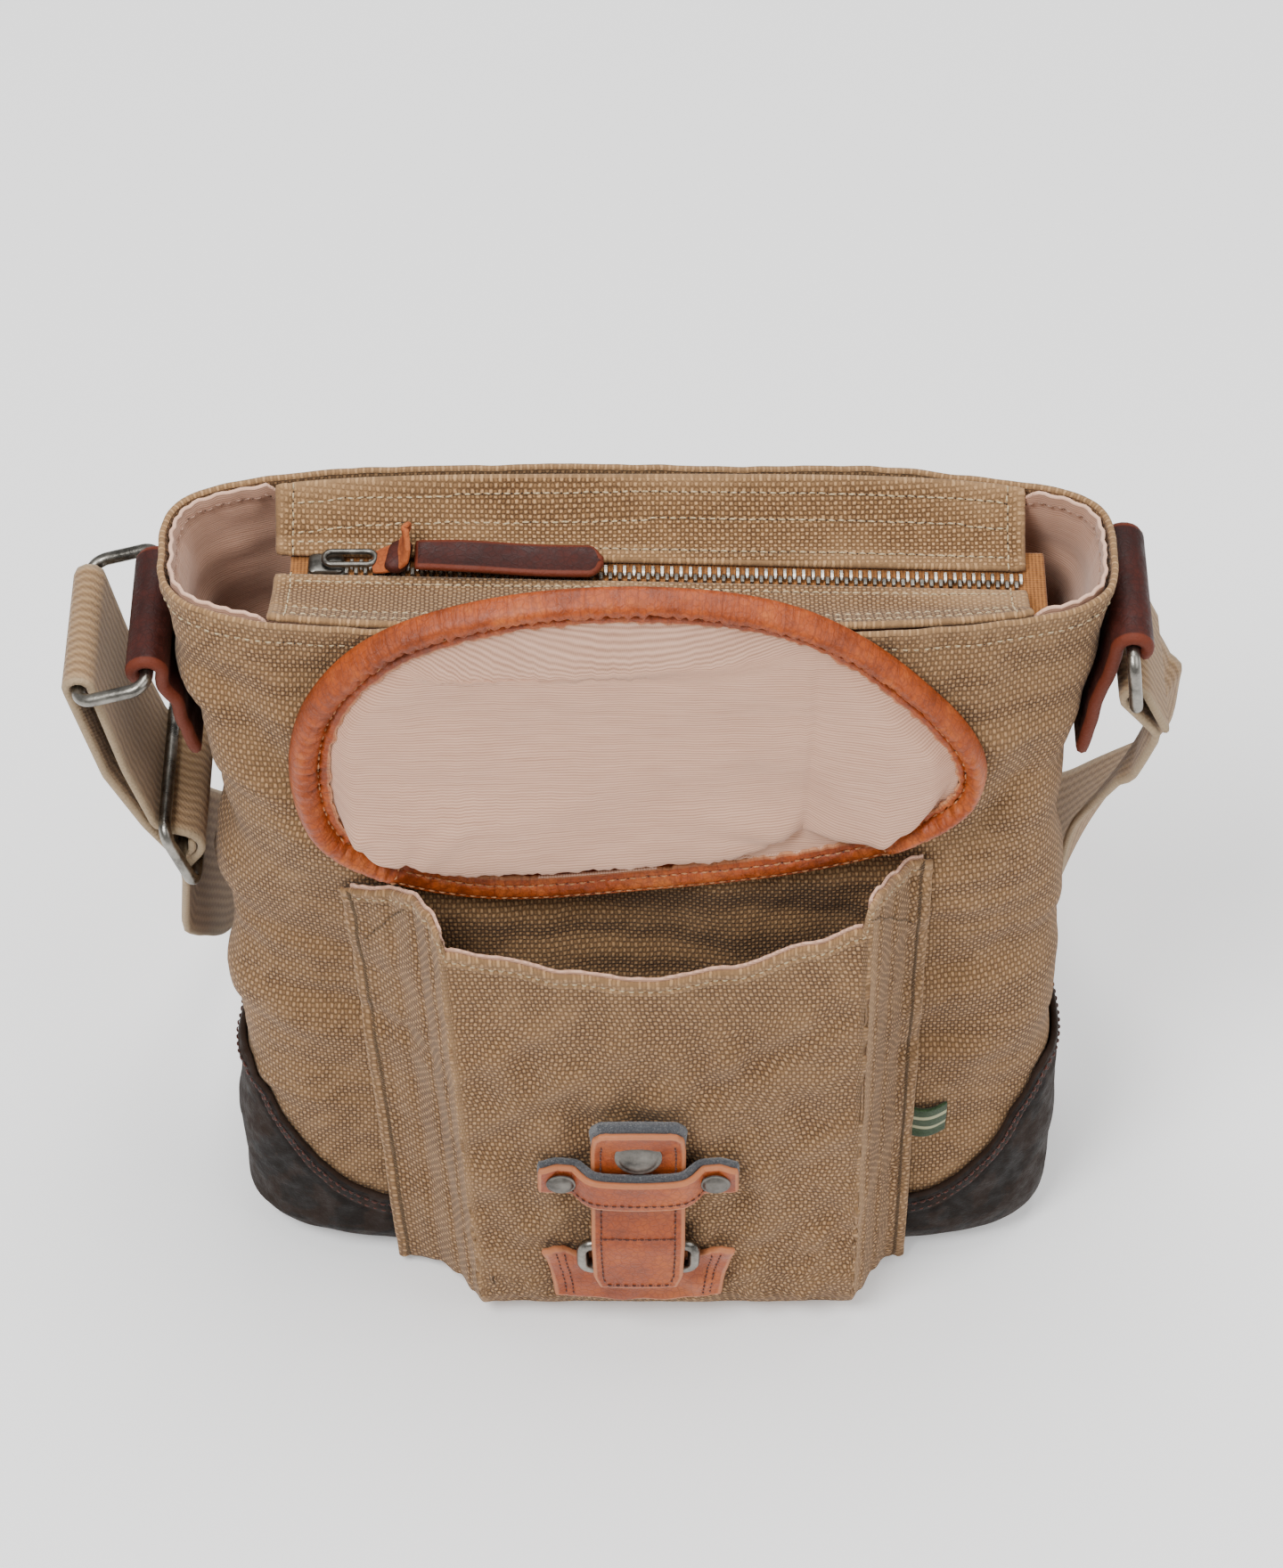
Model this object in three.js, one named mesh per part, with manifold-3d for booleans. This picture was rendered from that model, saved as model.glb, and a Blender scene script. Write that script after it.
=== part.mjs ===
// A canvas and leather crossbody bag, standing upright with its pocket flap folded up.
// Millimetres, x to the right, y away from the pocket, z up; the origin is the middle of the base.
import * as THREE from 'three';
import Module from 'manifold-3d';
import { mergeVertices } from 'three/addons/utils/BufferGeometryUtils.js';

const wasm = await Module();
wasm.setup();

// The body
const HEIGHT = 298;
const MOUTH_WIDTH = 282;
const MOUTH_DEPTH = 68;
const BASE_WIDTH = 265;
const BASE_DEPTH = 95;
const BASE_ROUND = 16;
const BASE_SIDE_RISE = 90;
const BASE_MIDDLE_RISE = 33;
const CANVAS = 2;
const LEATHER = 2.2;
const LINING = 1.2;

// Clearances
const GAP = 0.3;
const LAYER_GAP = 0.5;

// The zip
const ZIP_LENGTH = 214;
const ZIP_DROP = 17;
const ZIP_TAPE_WIDTH = 26;
const ZIP_TAPE = 0.8;
const ZIP_SKEW = -6.5;
const ZIP_MIDDLE_X = 9.6;
const ZIP_MIDDLE_Y = 3.8;
const CHAIN_WIDTH = 6.2;
const CHAIN_HEIGHT = 2.4;
const TOOTH_PITCH = 2.8;
const FLANGE_WIDTH = 221;
const FLANGE_MIDDLE_X = 4.4;
const FLANGE = 2.4;
const SLIDER_LENGTH = 11;
const SLIDER_WIDTH = 8;
const SLIDER_HEIGHT = 3.6;
const PULLER_LENGTH = 17;
const PULLER_WIDTH = 7;
const PULLER_WIRE = 1.8;
const PULL_WIDTH = 10;
const PULL_LENGTH = 54;
const PULL = 2.2;
const KNOT_LENGTH = 11;

// The front pocket
const POCKET_WIDTH = 179;
const POCKET_DEPTH = 27;
const POCKET_HEIGHT = 200;
const POCKET_BOTTOM = 5;
const POCKET_MIDDLE_X = 0;
const POCKET_LEAN = 5.2;
const POCKET = 2;

// The pocket flap, folded up
const FLAP_WIDTH = 206;
const FLAP_HEIGHT = 122;
const FLAP_BOTTOM = 195;
const FLAP_TILT = 2.5;
const FLAP_RIM_WIDTH = 12;
const FLAP_RIM_HEIGHT = 6;
const FLAP_PLATE = 2;
const FLAP_PUFF = 9;

// The clasp
const PATCH_WIDTH = 61;
const PATCH_HEIGHT = 29;
const PATCH_BOTTOM = 21;
const CLASP_MIDDLE_X = 0.8;
const CLASP_LEATHER = 2.2;
const CLASP_FELT = 2;
const TAB_WIDTH = 28;
const TAB_TOP = 119;
const KEEPER_WIDTH = 62;
const KEEPER_HEIGHT = 12;
const KEEPER_BOTTOM = 86;
const KEEPER_RIVET_SPACING = 49;
const RIVET_DIAMETER = 9.5;
const SMALL_RIVET_DIAMETER = 6.8;
const PATCH_RIVET_SPACING = 14;
const SNAP_DIAMETER = 15;
const CLASP_RING_WIDTH = 40;
const CLASP_RING_HEIGHT = 17;
const CLASP_WIRE = 4;

// The label in the pocket's side seam
const LABEL_WIDTH = 11;
const LABEL_HEIGHT = 15;
const LABEL = 1.2;
const LABEL_LEVEL = 67;

// The side tabs, rings, slider and webbing
const TAB_LEATHER = 4;
const SIDE_TAB_WIDTH = 44;
const SIDE_TAB_BOTTOM = 234;
const RING_WIRE = 4;
const RING_WIDTH = 57;
const RING_CORNER = 5;
const RING_DEPTH = 22;
const WEBBING_WIDTH = 48;
const WEBBING = 2.5;
const SLIDER_BAR_SPACING = 13;
const TAB_RIVET_DIAMETER = 7;

// Fineness of the faceted surfaces
const AROUND = 40;
const FLAP_AROUND = 30;
const WIRE_SIDES = 6;
const RIVET_SIDES = 10;
const BODY_LEVELS = [0.07, 0.16, 0.26, 0.36, 0.46, 0.55, 0.63, 0.7, 0.76, 0.82, 0.88, 0.94, 1];

// Outer canvas skin: half width and half depth follow the base and mouth sizes, times these shares
const BODY_SECTIONS = [
  { level: 0.0, width: 1.0, depth: 1.0, squareness: 4.6, lean: 0.015 },
  { level: 0.15, width: 0.99, depth: 1.03, squareness: 4.6, lean: 0.015 },
  { level: 0.3, width: 0.972, depth: 1.07, squareness: 4.4, lean: 0.014 },
  { level: 0.54, width: 0.964, depth: 1.13, squareness: 4.2, lean: 0.011 },
  { level: 0.65, width: 0.957, depth: 1.13, squareness: 4.2, lean: 0.008 },
  { level: 0.755, width: 0.933, depth: 1.12, squareness: 4.4, lean: 0.005 },
  { level: 0.84, width: 0.952, depth: 1.09, squareness: 4.6, lean: 0.003 },
  { level: 0.92, width: 0.98, depth: 1.04, squareness: 4.0, lean: 0.002 },
  { level: 1.0, width: 1.0, depth: 1.0, squareness: 3.6, lean: 0.002 },
];

// Folds and dents: x and y as shares of the half width and half depth, level of the height,
// length and breadth of the mouth width, depth of the base depth, slope in degrees
const FOLDS = [
  { face: 'front', x: -0.86, level: 0.85, slope: -58, length: 0.13, breadth: 0.035, depth: -0.055 },
  { face: 'front', x: -0.84, level: 0.74, slope: -38, length: 0.12, breadth: 0.04, depth: 0.04 },
  { face: 'front', x: 0.9, level: 0.8, slope: 66, length: 0.14, breadth: 0.035, depth: -0.045 },
  { face: 'front', x: 0.84, level: 0.7, slope: 40, length: 0.13, breadth: 0.04, depth: 0.035 },
  { face: 'front', x: -0.8, level: 0.56, slope: -22, length: 0.12, breadth: 0.035, depth: -0.03 },
  { face: 'front', x: 0.82, level: 0.52, slope: 18, length: 0.12, breadth: 0.035, depth: -0.028 },
  { face: 'front', x: -0.84, level: 0.4, slope: -30, length: 0.13, breadth: 0.035, depth: 0.03 },
  { face: 'front', x: 0.84, level: 0.38, slope: 24, length: 0.12, breadth: 0.04, depth: 0.03 },
  { face: 'back', x: -0.45, level: 0.66, slope: 20, length: 0.24, breadth: 0.06, depth: -0.045 },
  { face: 'back', x: 0.5, level: 0.58, slope: -26, length: 0.24, breadth: 0.06, depth: -0.045 },
  { face: 'back', x: 0.0, level: 0.4, slope: 6, length: 0.3, breadth: 0.07, depth: 0.035 },
  { face: 'left', y: 0.0, level: 0.68, slope: 4, length: 0.16, breadth: 0.04, depth: -0.05 },
  { face: 'right', y: 0.0, level: 0.66, slope: -4, length: 0.16, breadth: 0.04, depth: -0.045 },
  { face: 'left', y: 0.1, level: 0.5, slope: 84, length: 0.16, breadth: 0.05, depth: -0.05 },
  { face: 'right', y: 0.1, level: 0.48, slope: 96, length: 0.16, breadth: 0.05, depth: -0.045 },
];

// The free run of the webbing, from the slider on the left, behind the bag, to the right ring:
// x as a share of half the mouth width, y of the base depth, z of the height,
// then the direction across the webbing
const STRAP_ROUTE = [
  { x: -1.0, y: 0.06, z: 0.49, across: [0.1, 0.98, 0.12] },
  { x: -0.985, y: 0.32, z: 0.38, across: [0.16, 0.84, 0.5] },
  { x: -0.96, y: 0.75, z: 0.22, across: [0.16, 0.52, 0.84] },
  { x: -0.9, y: 1.35, z: 0.11, across: [0.12, 0.16, 0.98] },
  { x: -0.72, y: 2.05, z: 0.085, across: [0.03, -0.02, 1] },
  { x: -0.38, y: 2.5, z: 0.082, across: [0, 0, 1] },
  { x: 0.0, y: 2.62, z: 0.082, across: [0, 0, 1] },
  { x: 0.38, y: 2.5, z: 0.082, across: [0, 0, 1] },
  { x: 0.74, y: 2.05, z: 0.085, across: [-0.03, -0.02, 1] },
  { x: 0.93, y: 1.35, z: 0.115, across: [-0.1, 0.16, 0.98] },
  { x: 0.99, y: 0.75, z: 0.25, across: [0.04, 0.55, 0.83] },
  { x: 1.03, y: 0.36, z: 0.44, across: [0.3, 0.86, 0.1] },
  { x: 1.09, y: 0.14, z: 0.61, across: [0.5, 0.8, -0.3] },
  { x: 1.125, y: 0.03, z: 0.73, across: [0.34, 0.9, -0.26] },
];

const FRAME_UP = new THREE.Vector3(0, 0, 1);
const smooth = (t) => t * t * (3 - 2 * t);
const clamp01 = (t) => Math.min(1, Math.max(0, t));
const mix = (a, b, t) => a + (b - a) * t;
const steps = (count) => Array.from({ length: count + 1 }, (_, i) => i / count);

// The value of one column of a table at a level, eased from row to row
function column(table, name, level) {
  let row = 0;
  while (row < table.length - 2 && level > table[row + 1].level) row += 1;
  const low = table[row];
  const high = table[row + 1];
  return mix(low[name], high[name], smooth(clamp01((level - low.level) / (high.level - low.level))));
}

// Closed solids from grids of points

function meshFrom(points, triangles) {
  let volume = 0;
  for (const [a, b, c] of triangles) {
    volume += points[a].dot(new THREE.Vector3().crossVectors(points[b], points[c]));
  }
  const facing = volume < 0 ? triangles.map(([a, b, c]) => [a, c, b]) : triangles;
  const geometry = new THREE.BufferGeometry();
  geometry.setAttribute('position', new THREE.Float32BufferAttribute(points.flatMap((p) => p.toArray()), 3));
  geometry.setIndex(facing.flat());
  geometry.computeVertexNormals();
  return geometry;
}

// A wall between two grids of rows; rows may run all around, and the first row may be closed by a floor
function wall(front, back, { around = false, floor = false } = {}) {
  const rows = front.length;
  const columns = front[0].length;
  const points = [...front.flat(), ...back.flat()];
  const at = (side, row, col) => side * rows * columns + row * columns + (col % columns);
  const triangles = [];
  const quad = (a, b, c, d) => triangles.push([a, b, c], [a, c, d]);
  const last = around ? columns : columns - 1;
  for (let row = 0; row < rows - 1; row += 1) {
    for (let col = 0; col < last; col += 1) {
      quad(at(0, row, col), at(0, row, col + 1), at(0, row + 1, col + 1), at(0, row + 1, col));
      quad(at(1, row, col), at(1, row + 1, col), at(1, row + 1, col + 1), at(1, row, col + 1));
    }
  }
  for (let col = 0; col < last; col += 1) {
    const top = rows - 1;
    quad(at(0, top, col), at(0, top, col + 1), at(1, top, col + 1), at(1, top, col));
    if (!floor) quad(at(0, 0, col + 1), at(0, 0, col), at(1, 0, col), at(1, 0, col + 1));
  }
  if (floor) {
    for (const side of [0, 1]) {
      const rim = (side ? back : front)[0];
      const middle = points.length;
      points.push(rim.reduce((sum, p) => sum.add(p), new THREE.Vector3()).divideScalar(columns));
      for (let col = 0; col < columns; col += 1) {
        const pair = [at(side, 0, col), at(side, 0, col + 1)];
        triangles.push(side ? [middle, ...pair] : [middle, pair[1], pair[0]]);
      }
    }
  }
  if (!around) {
    for (let row = 0; row < rows - 1; row += 1) {
      const end = columns - 1;
      quad(at(0, row, 0), at(0, row + 1, 0), at(1, row + 1, 0), at(1, row, 0));
      quad(at(0, row + 1, end), at(0, row, end), at(1, row, end), at(1, row + 1, end));
    }
  }
  return meshFrom(points, triangles);
}

// Vertex normals of a sheet of points, and the sheet moved along them
function moved(grid, distance) {
  return grid.map((line, row) => line.map((point, col) => {
    const right = line[Math.min(col + 1, line.length - 1)];
    const left = line[Math.max(col - 1, 0)];
    const above = grid[Math.min(row + 1, grid.length - 1)][col];
    const below = grid[Math.max(row - 1, 0)][col];
    const normal = new THREE.Vector3().crossVectors(right.clone().sub(left), above.clone().sub(below));
    return point.clone().addScaledVector(normal.normalize(), distance);
  }));
}

// A closed solid through sections of equal point counts, closed on itself or capped at both ends
function sweep(sections, { loop = false } = {}) {
  const count = sections[0].length;
  const points = sections.flat();
  const triangles = [];
  const last = loop ? sections.length : sections.length - 1;
  const at = (row, col) => (row % sections.length) * count + (col % count);
  for (let row = 0; row < last; row += 1) {
    for (let col = 0; col < count; col += 1) {
      triangles.push([at(row, col), at(row, col + 1), at(row + 1, col + 1)]);
      triangles.push([at(row, col), at(row + 1, col + 1), at(row + 1, col)]);
    }
  }
  if (!loop) {
    for (let col = 1; col < count - 1; col += 1) {
      triangles.push([at(0, 0), at(0, col + 1), at(0, col)]);
      triangles.push([at(last, 0), at(last, col), at(last, col + 1)]);
    }
  }
  return meshFrom(points, triangles);
}

// A round wire through points that lie in one plane
function wire(points, diameter, planeNormal, loop) {
  const count = points.length;
  const sections = points.map((point, i) => {
    const next = loop ? points[(i + 1) % count] : points[Math.min(i + 1, count - 1)];
    const before = loop ? points[(i + count - 1) % count] : points[Math.max(i - 1, 0)];
    const side = new THREE.Vector3().crossVectors(next.clone().sub(before), planeNormal).normalize();
    return steps(WIRE_SIDES - 1).map((_, k) => {
      const angle = (2 * Math.PI * k) / WIRE_SIDES;
      return point.clone()
        .addScaledVector(side, (diameter / 2) * Math.cos(angle))
        .addScaledVector(planeNormal, (diameter / 2) * Math.sin(angle));
    });
  });
  return sweep(sections, { loop });
}

// A rounded rectangle of points around a middle, spanned by two unit directions
function roundedLoop(middle, alongA, alongB, lengthA, lengthB, radius, perCorner = 4) {
  const points = [];
  for (const [signA, signB, start] of [[1, 1, 0], [-1, 1, 90], [-1, -1, 180], [1, -1, 270]]) {
    for (const share of steps(perCorner)) {
      const angle = THREE.MathUtils.degToRad(start + 90 * share);
      points.push(middle.clone()
        .addScaledVector(alongA, signA * (lengthA / 2 - radius) + radius * Math.cos(angle))
        .addScaledVector(alongB, signB * (lengthB / 2 - radius) + radius * Math.sin(angle)));
    }
  }
  return points;
}

function joined(geometries) {
  const solids = geometries.map((geometry) => {
    const bare = geometry.clone();
    bare.deleteAttribute('normal');
    if (bare.attributes.uv) bare.deleteAttribute('uv');
    const merged = mergeVertices(bare, 1e-4);
    return new wasm.Manifold(new wasm.Mesh({
      numProp: 3,
      vertProperties: merged.attributes.position.array,
      triVerts: new Uint32Array(merged.index.array),
    }));
  });
  const { vertProperties, triVerts } = solids.reduce((sum, next) => sum.add(next)).getMesh();
  const geometry = new THREE.BufferGeometry();
  geometry.setAttribute('position', new THREE.Float32BufferAttribute(vertProperties, 3));
  geometry.setIndex(Array.from(triVerts));
  geometry.computeVertexNormals();
  return geometry;
}

// The body's skin

function evenLoop(dense, count) {
  const lengths = [0];
  for (let i = 1; i <= dense.length; i += 1) {
    lengths.push(lengths[i - 1] + dense[i % dense.length].distanceTo(dense[i - 1]));
  }
  const total = lengths[dense.length];
  const loop = [];
  let segment = 0;
  for (let i = 0; i < count; i += 1) {
    const target = (total * i) / count;
    while (lengths[segment + 1] < target) segment += 1;
    const share = (target - lengths[segment]) / (lengths[segment + 1] - lengths[segment]);
    loop.push(dense[segment].clone().lerp(dense[(segment + 1) % dense.length], share));
  }
  return loop;
}

function bodySection(level) {
  const halfWidth = mix(BASE_WIDTH, MOUTH_WIDTH, level) / 2 * column(BODY_SECTIONS, 'width', level);
  const halfDepth = mix(BASE_DEPTH, MOUTH_DEPTH, level) / 2 * column(BODY_SECTIONS, 'depth', level);
  return {
    halfWidth,
    halfDepth,
    power: 2 / column(BODY_SECTIONS, 'squareness', level),
    shift: BASE_WIDTH * column(BODY_SECTIONS, 'lean', level),
  };
}

function foldPush(point, level, section) {
  let push = 0;
  for (const fold of FOLDS) {
    const facing = { front: [0, -1], back: [0, 1], left: [-1, 0], right: [1, 0] }[fold.face];
    const centre = new THREE.Vector3(
      facing[0] ? facing[0] * section.halfWidth : fold.x * section.halfWidth,
      facing[1] ? facing[1] * section.halfDepth : fold.y * section.halfDepth,
      fold.level * HEIGHT,
    );
    const offset = new THREE.Vector3(point.x - section.shift, point.y, level * HEIGHT).sub(centre);
    const slope = THREE.MathUtils.degToRad(fold.slope);
    const run = new THREE.Vector3(facing[1] ? 1 : 0, facing[0] ? 1 : 0, 0).multiplyScalar(Math.cos(slope));
    run.z = Math.sin(slope);
    const along = offset.dot(run);
    const across = offset.addScaledVector(run, -along).length();
    const fade = (along / (fold.length * MOUTH_WIDTH)) ** 2 + (across / (fold.breadth * MOUTH_WIDTH)) ** 2;
    push += fold.depth * BASE_DEPTH * Math.exp(-fade);
  }
  return push;
}

const cornerInset = (z) => {
  const rise = clamp01(z / BASE_ROUND);
  return BASE_ROUND * (1 - Math.sqrt(1 - (1 - rise) ** 2));
};

// One ring of points of the skin at height z, moved outwards by an offset
function skinRing(z, offset) {
  const level = clamp01(z / HEIGHT);
  const section = bodySection(level);
  const dense = steps(719).map((share) => {
    const angle = 2 * Math.PI * share * (719 / 720);
    const cos = Math.cos(angle);
    const sin = Math.sin(angle);
    return new THREE.Vector3(
      section.shift + Math.sign(cos) * section.halfWidth * Math.abs(cos) ** section.power,
      Math.sign(sin) * section.halfDepth * Math.abs(sin) ** section.power,
      z,
    );
  });
  const even = evenLoop(dense, AROUND);
  return even.map((point, i) => {
    const next = even[(i + 1) % AROUND];
    const before = even[(i + AROUND - 1) % AROUND];
    const normal = new THREE.Vector3(next.y - before.y, before.x - next.x, 0).normalize();
    return point.clone().addScaledVector(normal, foldPush(point, level, section) + offset);
  });
}

// The plain front face of the skin, as a y for a height and a distance from the middle
function frontY(z, x = 0) {
  const { halfWidth, halfDepth, power, shift } = bodySection(clamp01(z / HEIGHT));
  return -halfDepth * (1 - clamp01(Math.abs(x - shift) / halfWidth) ** (2 / power)) ** (power / 2);
}

// The folded front face of the skin at one place, as the y of its facets
function foldedFrontY(x, z) {
  const ring = skinRing(z, 0);
  for (let i = 0; i < AROUND; i += 1) {
    const a = ring[i];
    const b = ring[(i + 1) % AROUND];
    if (a.y < 0 && b.y < 0 && a.x <= x && b.x > x) return mix(a.y, b.y, (x - a.x) / (b.x - a.x));
  }
  return frontY(z, x);
}

// What the front pocket is sewn to: the canvas, or the leather base where that covers it
function pocketGroundY(x, z) {
  const over = z - leatherEdge(new THREE.Vector3(x, 0, z));
  const covered = 1 - clamp01(over / (LEATHER * 8) - 0.5);
  return foldedFrontY(x, z) - covered * (LEATHER + LAYER_GAP) - 0.8 * LAYER_GAP;
}

function sideX(z, side) {
  const ring = skinRing(z, 0);
  return side * Math.max(...ring.map((point) => side * point.x));
}

// Pieces of the body

function canvasBody() {
  const outer = BODY_LEVELS.map((level) => skinRing(level * HEIGHT, 0));
  const inner = BODY_LEVELS.map((level) => skinRing(level * HEIGHT, -CANVAS));
  return wall(outer, inner, { around: true });
}

// Height of the leather's upper edge: high on the side panels, low behind the pocket
function leatherEdge(point) {
  const across = Math.abs(point.x - BASE_WIDTH * BODY_SECTIONS[0].lean) / (BASE_WIDTH / 2);
  const climb = clamp01((across - 0.62) / 0.36);
  return mix(BASE_MIDDLE_RISE, BASE_SIDE_RISE, climb ** 2.2);
}

function cupRows(offset, floorZ, topOf) {
  const rounds = [0.02, 0.22, 0.55].map((share) => {
    const z = floorZ + (BASE_ROUND - floorZ) * share;
    return skinRing(z, offset - cornerInset(BASE_ROUND * share));
  });
  const ringAt = steps(4).map((share) => {
    const low = skinRing(BASE_ROUND, offset);
    return low.map((point, i) => {
      const top = topOf(point);
      return skinRing(mix(BASE_ROUND, top, share), offset)[i];
    });
  });
  const bottom = rounds[0].map((point) => new THREE.Vector3(point.x, point.y, floorZ));
  return [bottom, ...rounds.slice(1), ...ringAt];
}

function leatherBase() {
  const outer = cupRows(LAYER_GAP + LEATHER, 0, leatherEdge);
  const inner = cupRows(LAYER_GAP, LEATHER, leatherEdge);
  return wall(outer, inner, { around: true, floor: true });
}

// The inner bag: its edge is at the mouth beside the flanges and tucks below them elsewhere
function liningEdge(point) {
  const beside = Math.abs(point.x - FLANGE_MIDDLE_X) - FLANGE_WIDTH / 2;
  return HEIGHT - mix(FLANGE * 4, GAP * 2, clamp01(beside / (FLANGE * 3) + 0.5));
}

function bodyLining() {
  const rows = (offset, floorZ) => {
    const bottom = skinRing(BASE_ROUND, offset - BASE_ROUND * 0.6)
      .map((point) => new THREE.Vector3(point.x, point.y, floorZ));
    const top = skinRing(HEIGHT, offset).map((point, i) => skinRing(liningEdge(point), offset)[i]);
    const rings = BODY_LEVELS.slice(0, -1).map((level) => skinRing(level * HEIGHT, offset));
    return [bottom, ...rings, top];
  };
  const outside = -CANVAS - LAYER_GAP;
  return wall(
    rows(outside, LEATHER + GAP),
    rows(outside - LINING, LEATHER + GAP + LINING),
    { around: true, floor: true },
  );
}

// The zip and its flanges

const zipZ = HEIGHT - ZIP_DROP;
const zipY = (x) => ZIP_MIDDLE_Y + ZIP_SKEW * ((x - ZIP_MIDDLE_X) / ZIP_LENGTH);

// A facing that slopes from the mouth's edge down to the zip, on the back (1) or the front (-1)
function flange(side) {
  const reach = SLIDER_WIDTH / 2 + FLANGE / 2;
  const inset = CANVAS + FLANGE * 0.85;
  const grid = steps(3).map((share) => steps(12).map((across) => {
    const x = FLANGE_MIDDLE_X + FLANGE_WIDTH * (across - 0.5);
    const y = mix(side * (-frontY(HEIGHT, x) - inset), zipY(x) + side * reach, share);
    const sag = Math.sin(Math.PI * share) * -2.2;
    return new THREE.Vector3(x, y, mix(HEIGHT - 1.2, zipZ + (ZIP_TAPE + FLANGE) / 2 + GAP, share) + sag);
  }));
  return wall(moved(grid, FLANGE / 2), moved(grid, -FLANGE / 2));
}

function zipTape() {
  const grid = steps(1).map((share) => steps(8).map((across) => {
    const x = ZIP_MIDDLE_X + (ZIP_LENGTH + 10) * (across - 0.5);
    return new THREE.Vector3(x, zipY(x) + ZIP_TAPE_WIDTH * (share - 0.5), zipZ);
  }));
  return wall(moved(grid, ZIP_TAPE / 2), moved(grid, -ZIP_TAPE / 2));
}

// The chain as one ridged bar, one ridge for every two teeth
function zipTeeth() {
  const ridges = Math.round((ZIP_LENGTH - SLIDER_LENGTH) / (2 * TOOTH_PITCH));
  const start = ZIP_MIDDLE_X - ZIP_LENGTH / 2 + SLIDER_LENGTH + GAP;
  const pitch = (ZIP_LENGTH - SLIDER_LENGTH - GAP) / ridges;
  const bottom = zipZ + ZIP_TAPE / 2 + GAP;
  const sections = [];
  const add = (x, height) => {
    const y = zipY(x);
    sections.push([[-1, 0], [1, 0], [1, height], [-1, height]].map(([side, rise]) => (
      new THREE.Vector3(x, y + side * (CHAIN_WIDTH / 2 - 1.4), bottom + rise)
    )));
  };
  for (let ridge = 0; ridge < ridges; ridge += 1) {
    add(start + pitch * ridge, CHAIN_HEIGHT * 0.7);
    add(start + pitch * (ridge + 0.5), CHAIN_HEIGHT);
  }
  return sweep(sections);
}

const sliderX = ZIP_MIDDLE_X - ZIP_LENGTH / 2 + SLIDER_LENGTH / 2;
const sliderTop = zipZ + ZIP_TAPE / 2 + GAP + SLIDER_HEIGHT;

function zipSlider() {
  const middle = new THREE.Vector3(sliderX, zipY(sliderX), 0);
  const sections = [[0, 1], [0.55, 1], [1, 0.72]].map(([share, size]) => (
    roundedLoop(
      middle.clone().setZ(mix(sliderTop - SLIDER_HEIGHT, sliderTop, share)),
      new THREE.Vector3(1, 0, 0), new THREE.Vector3(0, 1, 0),
      SLIDER_LENGTH * size, SLIDER_WIDTH * size, 1.6 * size, 2,
    )
  ));
  return sweep(sections);
}

function zipPuller() {
  const middle = new THREE.Vector3(
    sliderX + PULLER_LENGTH * 0.42, zipY(sliderX), sliderTop + GAP + PULLER_WIRE / 2,
  );
  const loop = roundedLoop(
    middle, new THREE.Vector3(1, 0, 0), new THREE.Vector3(0, 1, 0),
    PULLER_LENGTH - PULLER_WIRE, PULLER_WIDTH - PULLER_WIRE, 2.4, 2,
  );
  return wire(loop, PULLER_WIRE, FRAME_UP, true);
}

const pullStart = sliderX + PULLER_LENGTH * 0.92 + GAP;
const pullZ = sliderTop + GAP + PULLER_WIRE / 2;

function leatherStrip(start, length, width, thickness, rise) {
  const grid = steps(1).map((share) => steps(8).map((along) => {
    const x = start + length * along;
    const round = along > 0.99 ? 0.55 : 1;
    return new THREE.Vector3(x, zipY(x) + width * round * (share - 0.5), pullZ + rise(along));
  }));
  return wall(moved(grid, thickness / 2), moved(grid, -thickness / 2));
}

function pullStrap() {
  const start = pullStart + KNOT_LENGTH + 2 * GAP;
  return leatherStrip(start, PULL_LENGTH, PULL_WIDTH, PULL, (along) => 1.2 * (1 - along) + 0.6);
}

// The knot of the leather pull: a ring of leather around the strip, just past the puller
function pullKnot() {
  const middle = new THREE.Vector3(pullStart + KNOT_LENGTH / 2, zipY(pullStart), pullZ + PULL * 1.1);
  const sections = [[0, 0.7], [0.3, 1], [0.7, 1], [1, 0.75]].map(([share, size]) => (
    roundedLoop(
      middle.clone().setX(pullStart + KNOT_LENGTH * share),
      new THREE.Vector3(0, 1, 0), FRAME_UP, PULL_WIDTH * 1.5 * size, PULL * 2.4 * size, 2 * size, 2,
    )
  ));
  return sweep(sections);
}

// The front pocket

const pocketLeft = POCKET_MIDDLE_X - POCKET_WIDTH / 2;

// How far the pocket stands off the body, and the height of its edge, across its width
const POCKET_OUTLINE = [
  { level: 0, stand: 0, edge: 0.973 },
  { level: 0.03, stand: 0.05, edge: 0.985 },
  { level: 0.075, stand: 0.17, edge: 1.0 },
  { level: 0.12, stand: 0.45, edge: 1.025 },
  { level: 0.148, stand: 0.8, edge: 1.045 },
  { level: 0.168, stand: 1, edge: 1.03 },
  { level: 0.182, stand: 1, edge: 0.982 },
  { level: 0.27, stand: 1, edge: 0.962 },
  { level: 0.38, stand: 1, edge: 0.931 },
  { level: 0.52, stand: 1, edge: 0.912 },
  { level: 0.66, stand: 1, edge: 0.941 },
  { level: 0.8, stand: 1, edge: 0.998 },
  { level: 0.88, stand: 1, edge: 1.035 },
  { level: 0.892, stand: 1, edge: 1.095 },
  { level: 0.912, stand: 0.8, edge: 1.09 },
  { level: 0.94, stand: 0.4, edge: 1.06 },
  { level: 0.97, stand: 0.08, edge: 1.04 },
  { level: 1, stand: 0, edge: 1.027 },
];

// How much of its depth the pocket has at each share of its height, from its rounded bottom up
const POCKET_RISE = [
  { level: 0, depth: 0 },
  { level: 0.004, depth: 0.5 },
  { level: 0.02, depth: 0.84 },
  { level: 0.07, depth: 1.0 },
  { level: 0.4, depth: 1.03 },
  { level: 1, depth: 1.0 },
];

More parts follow.
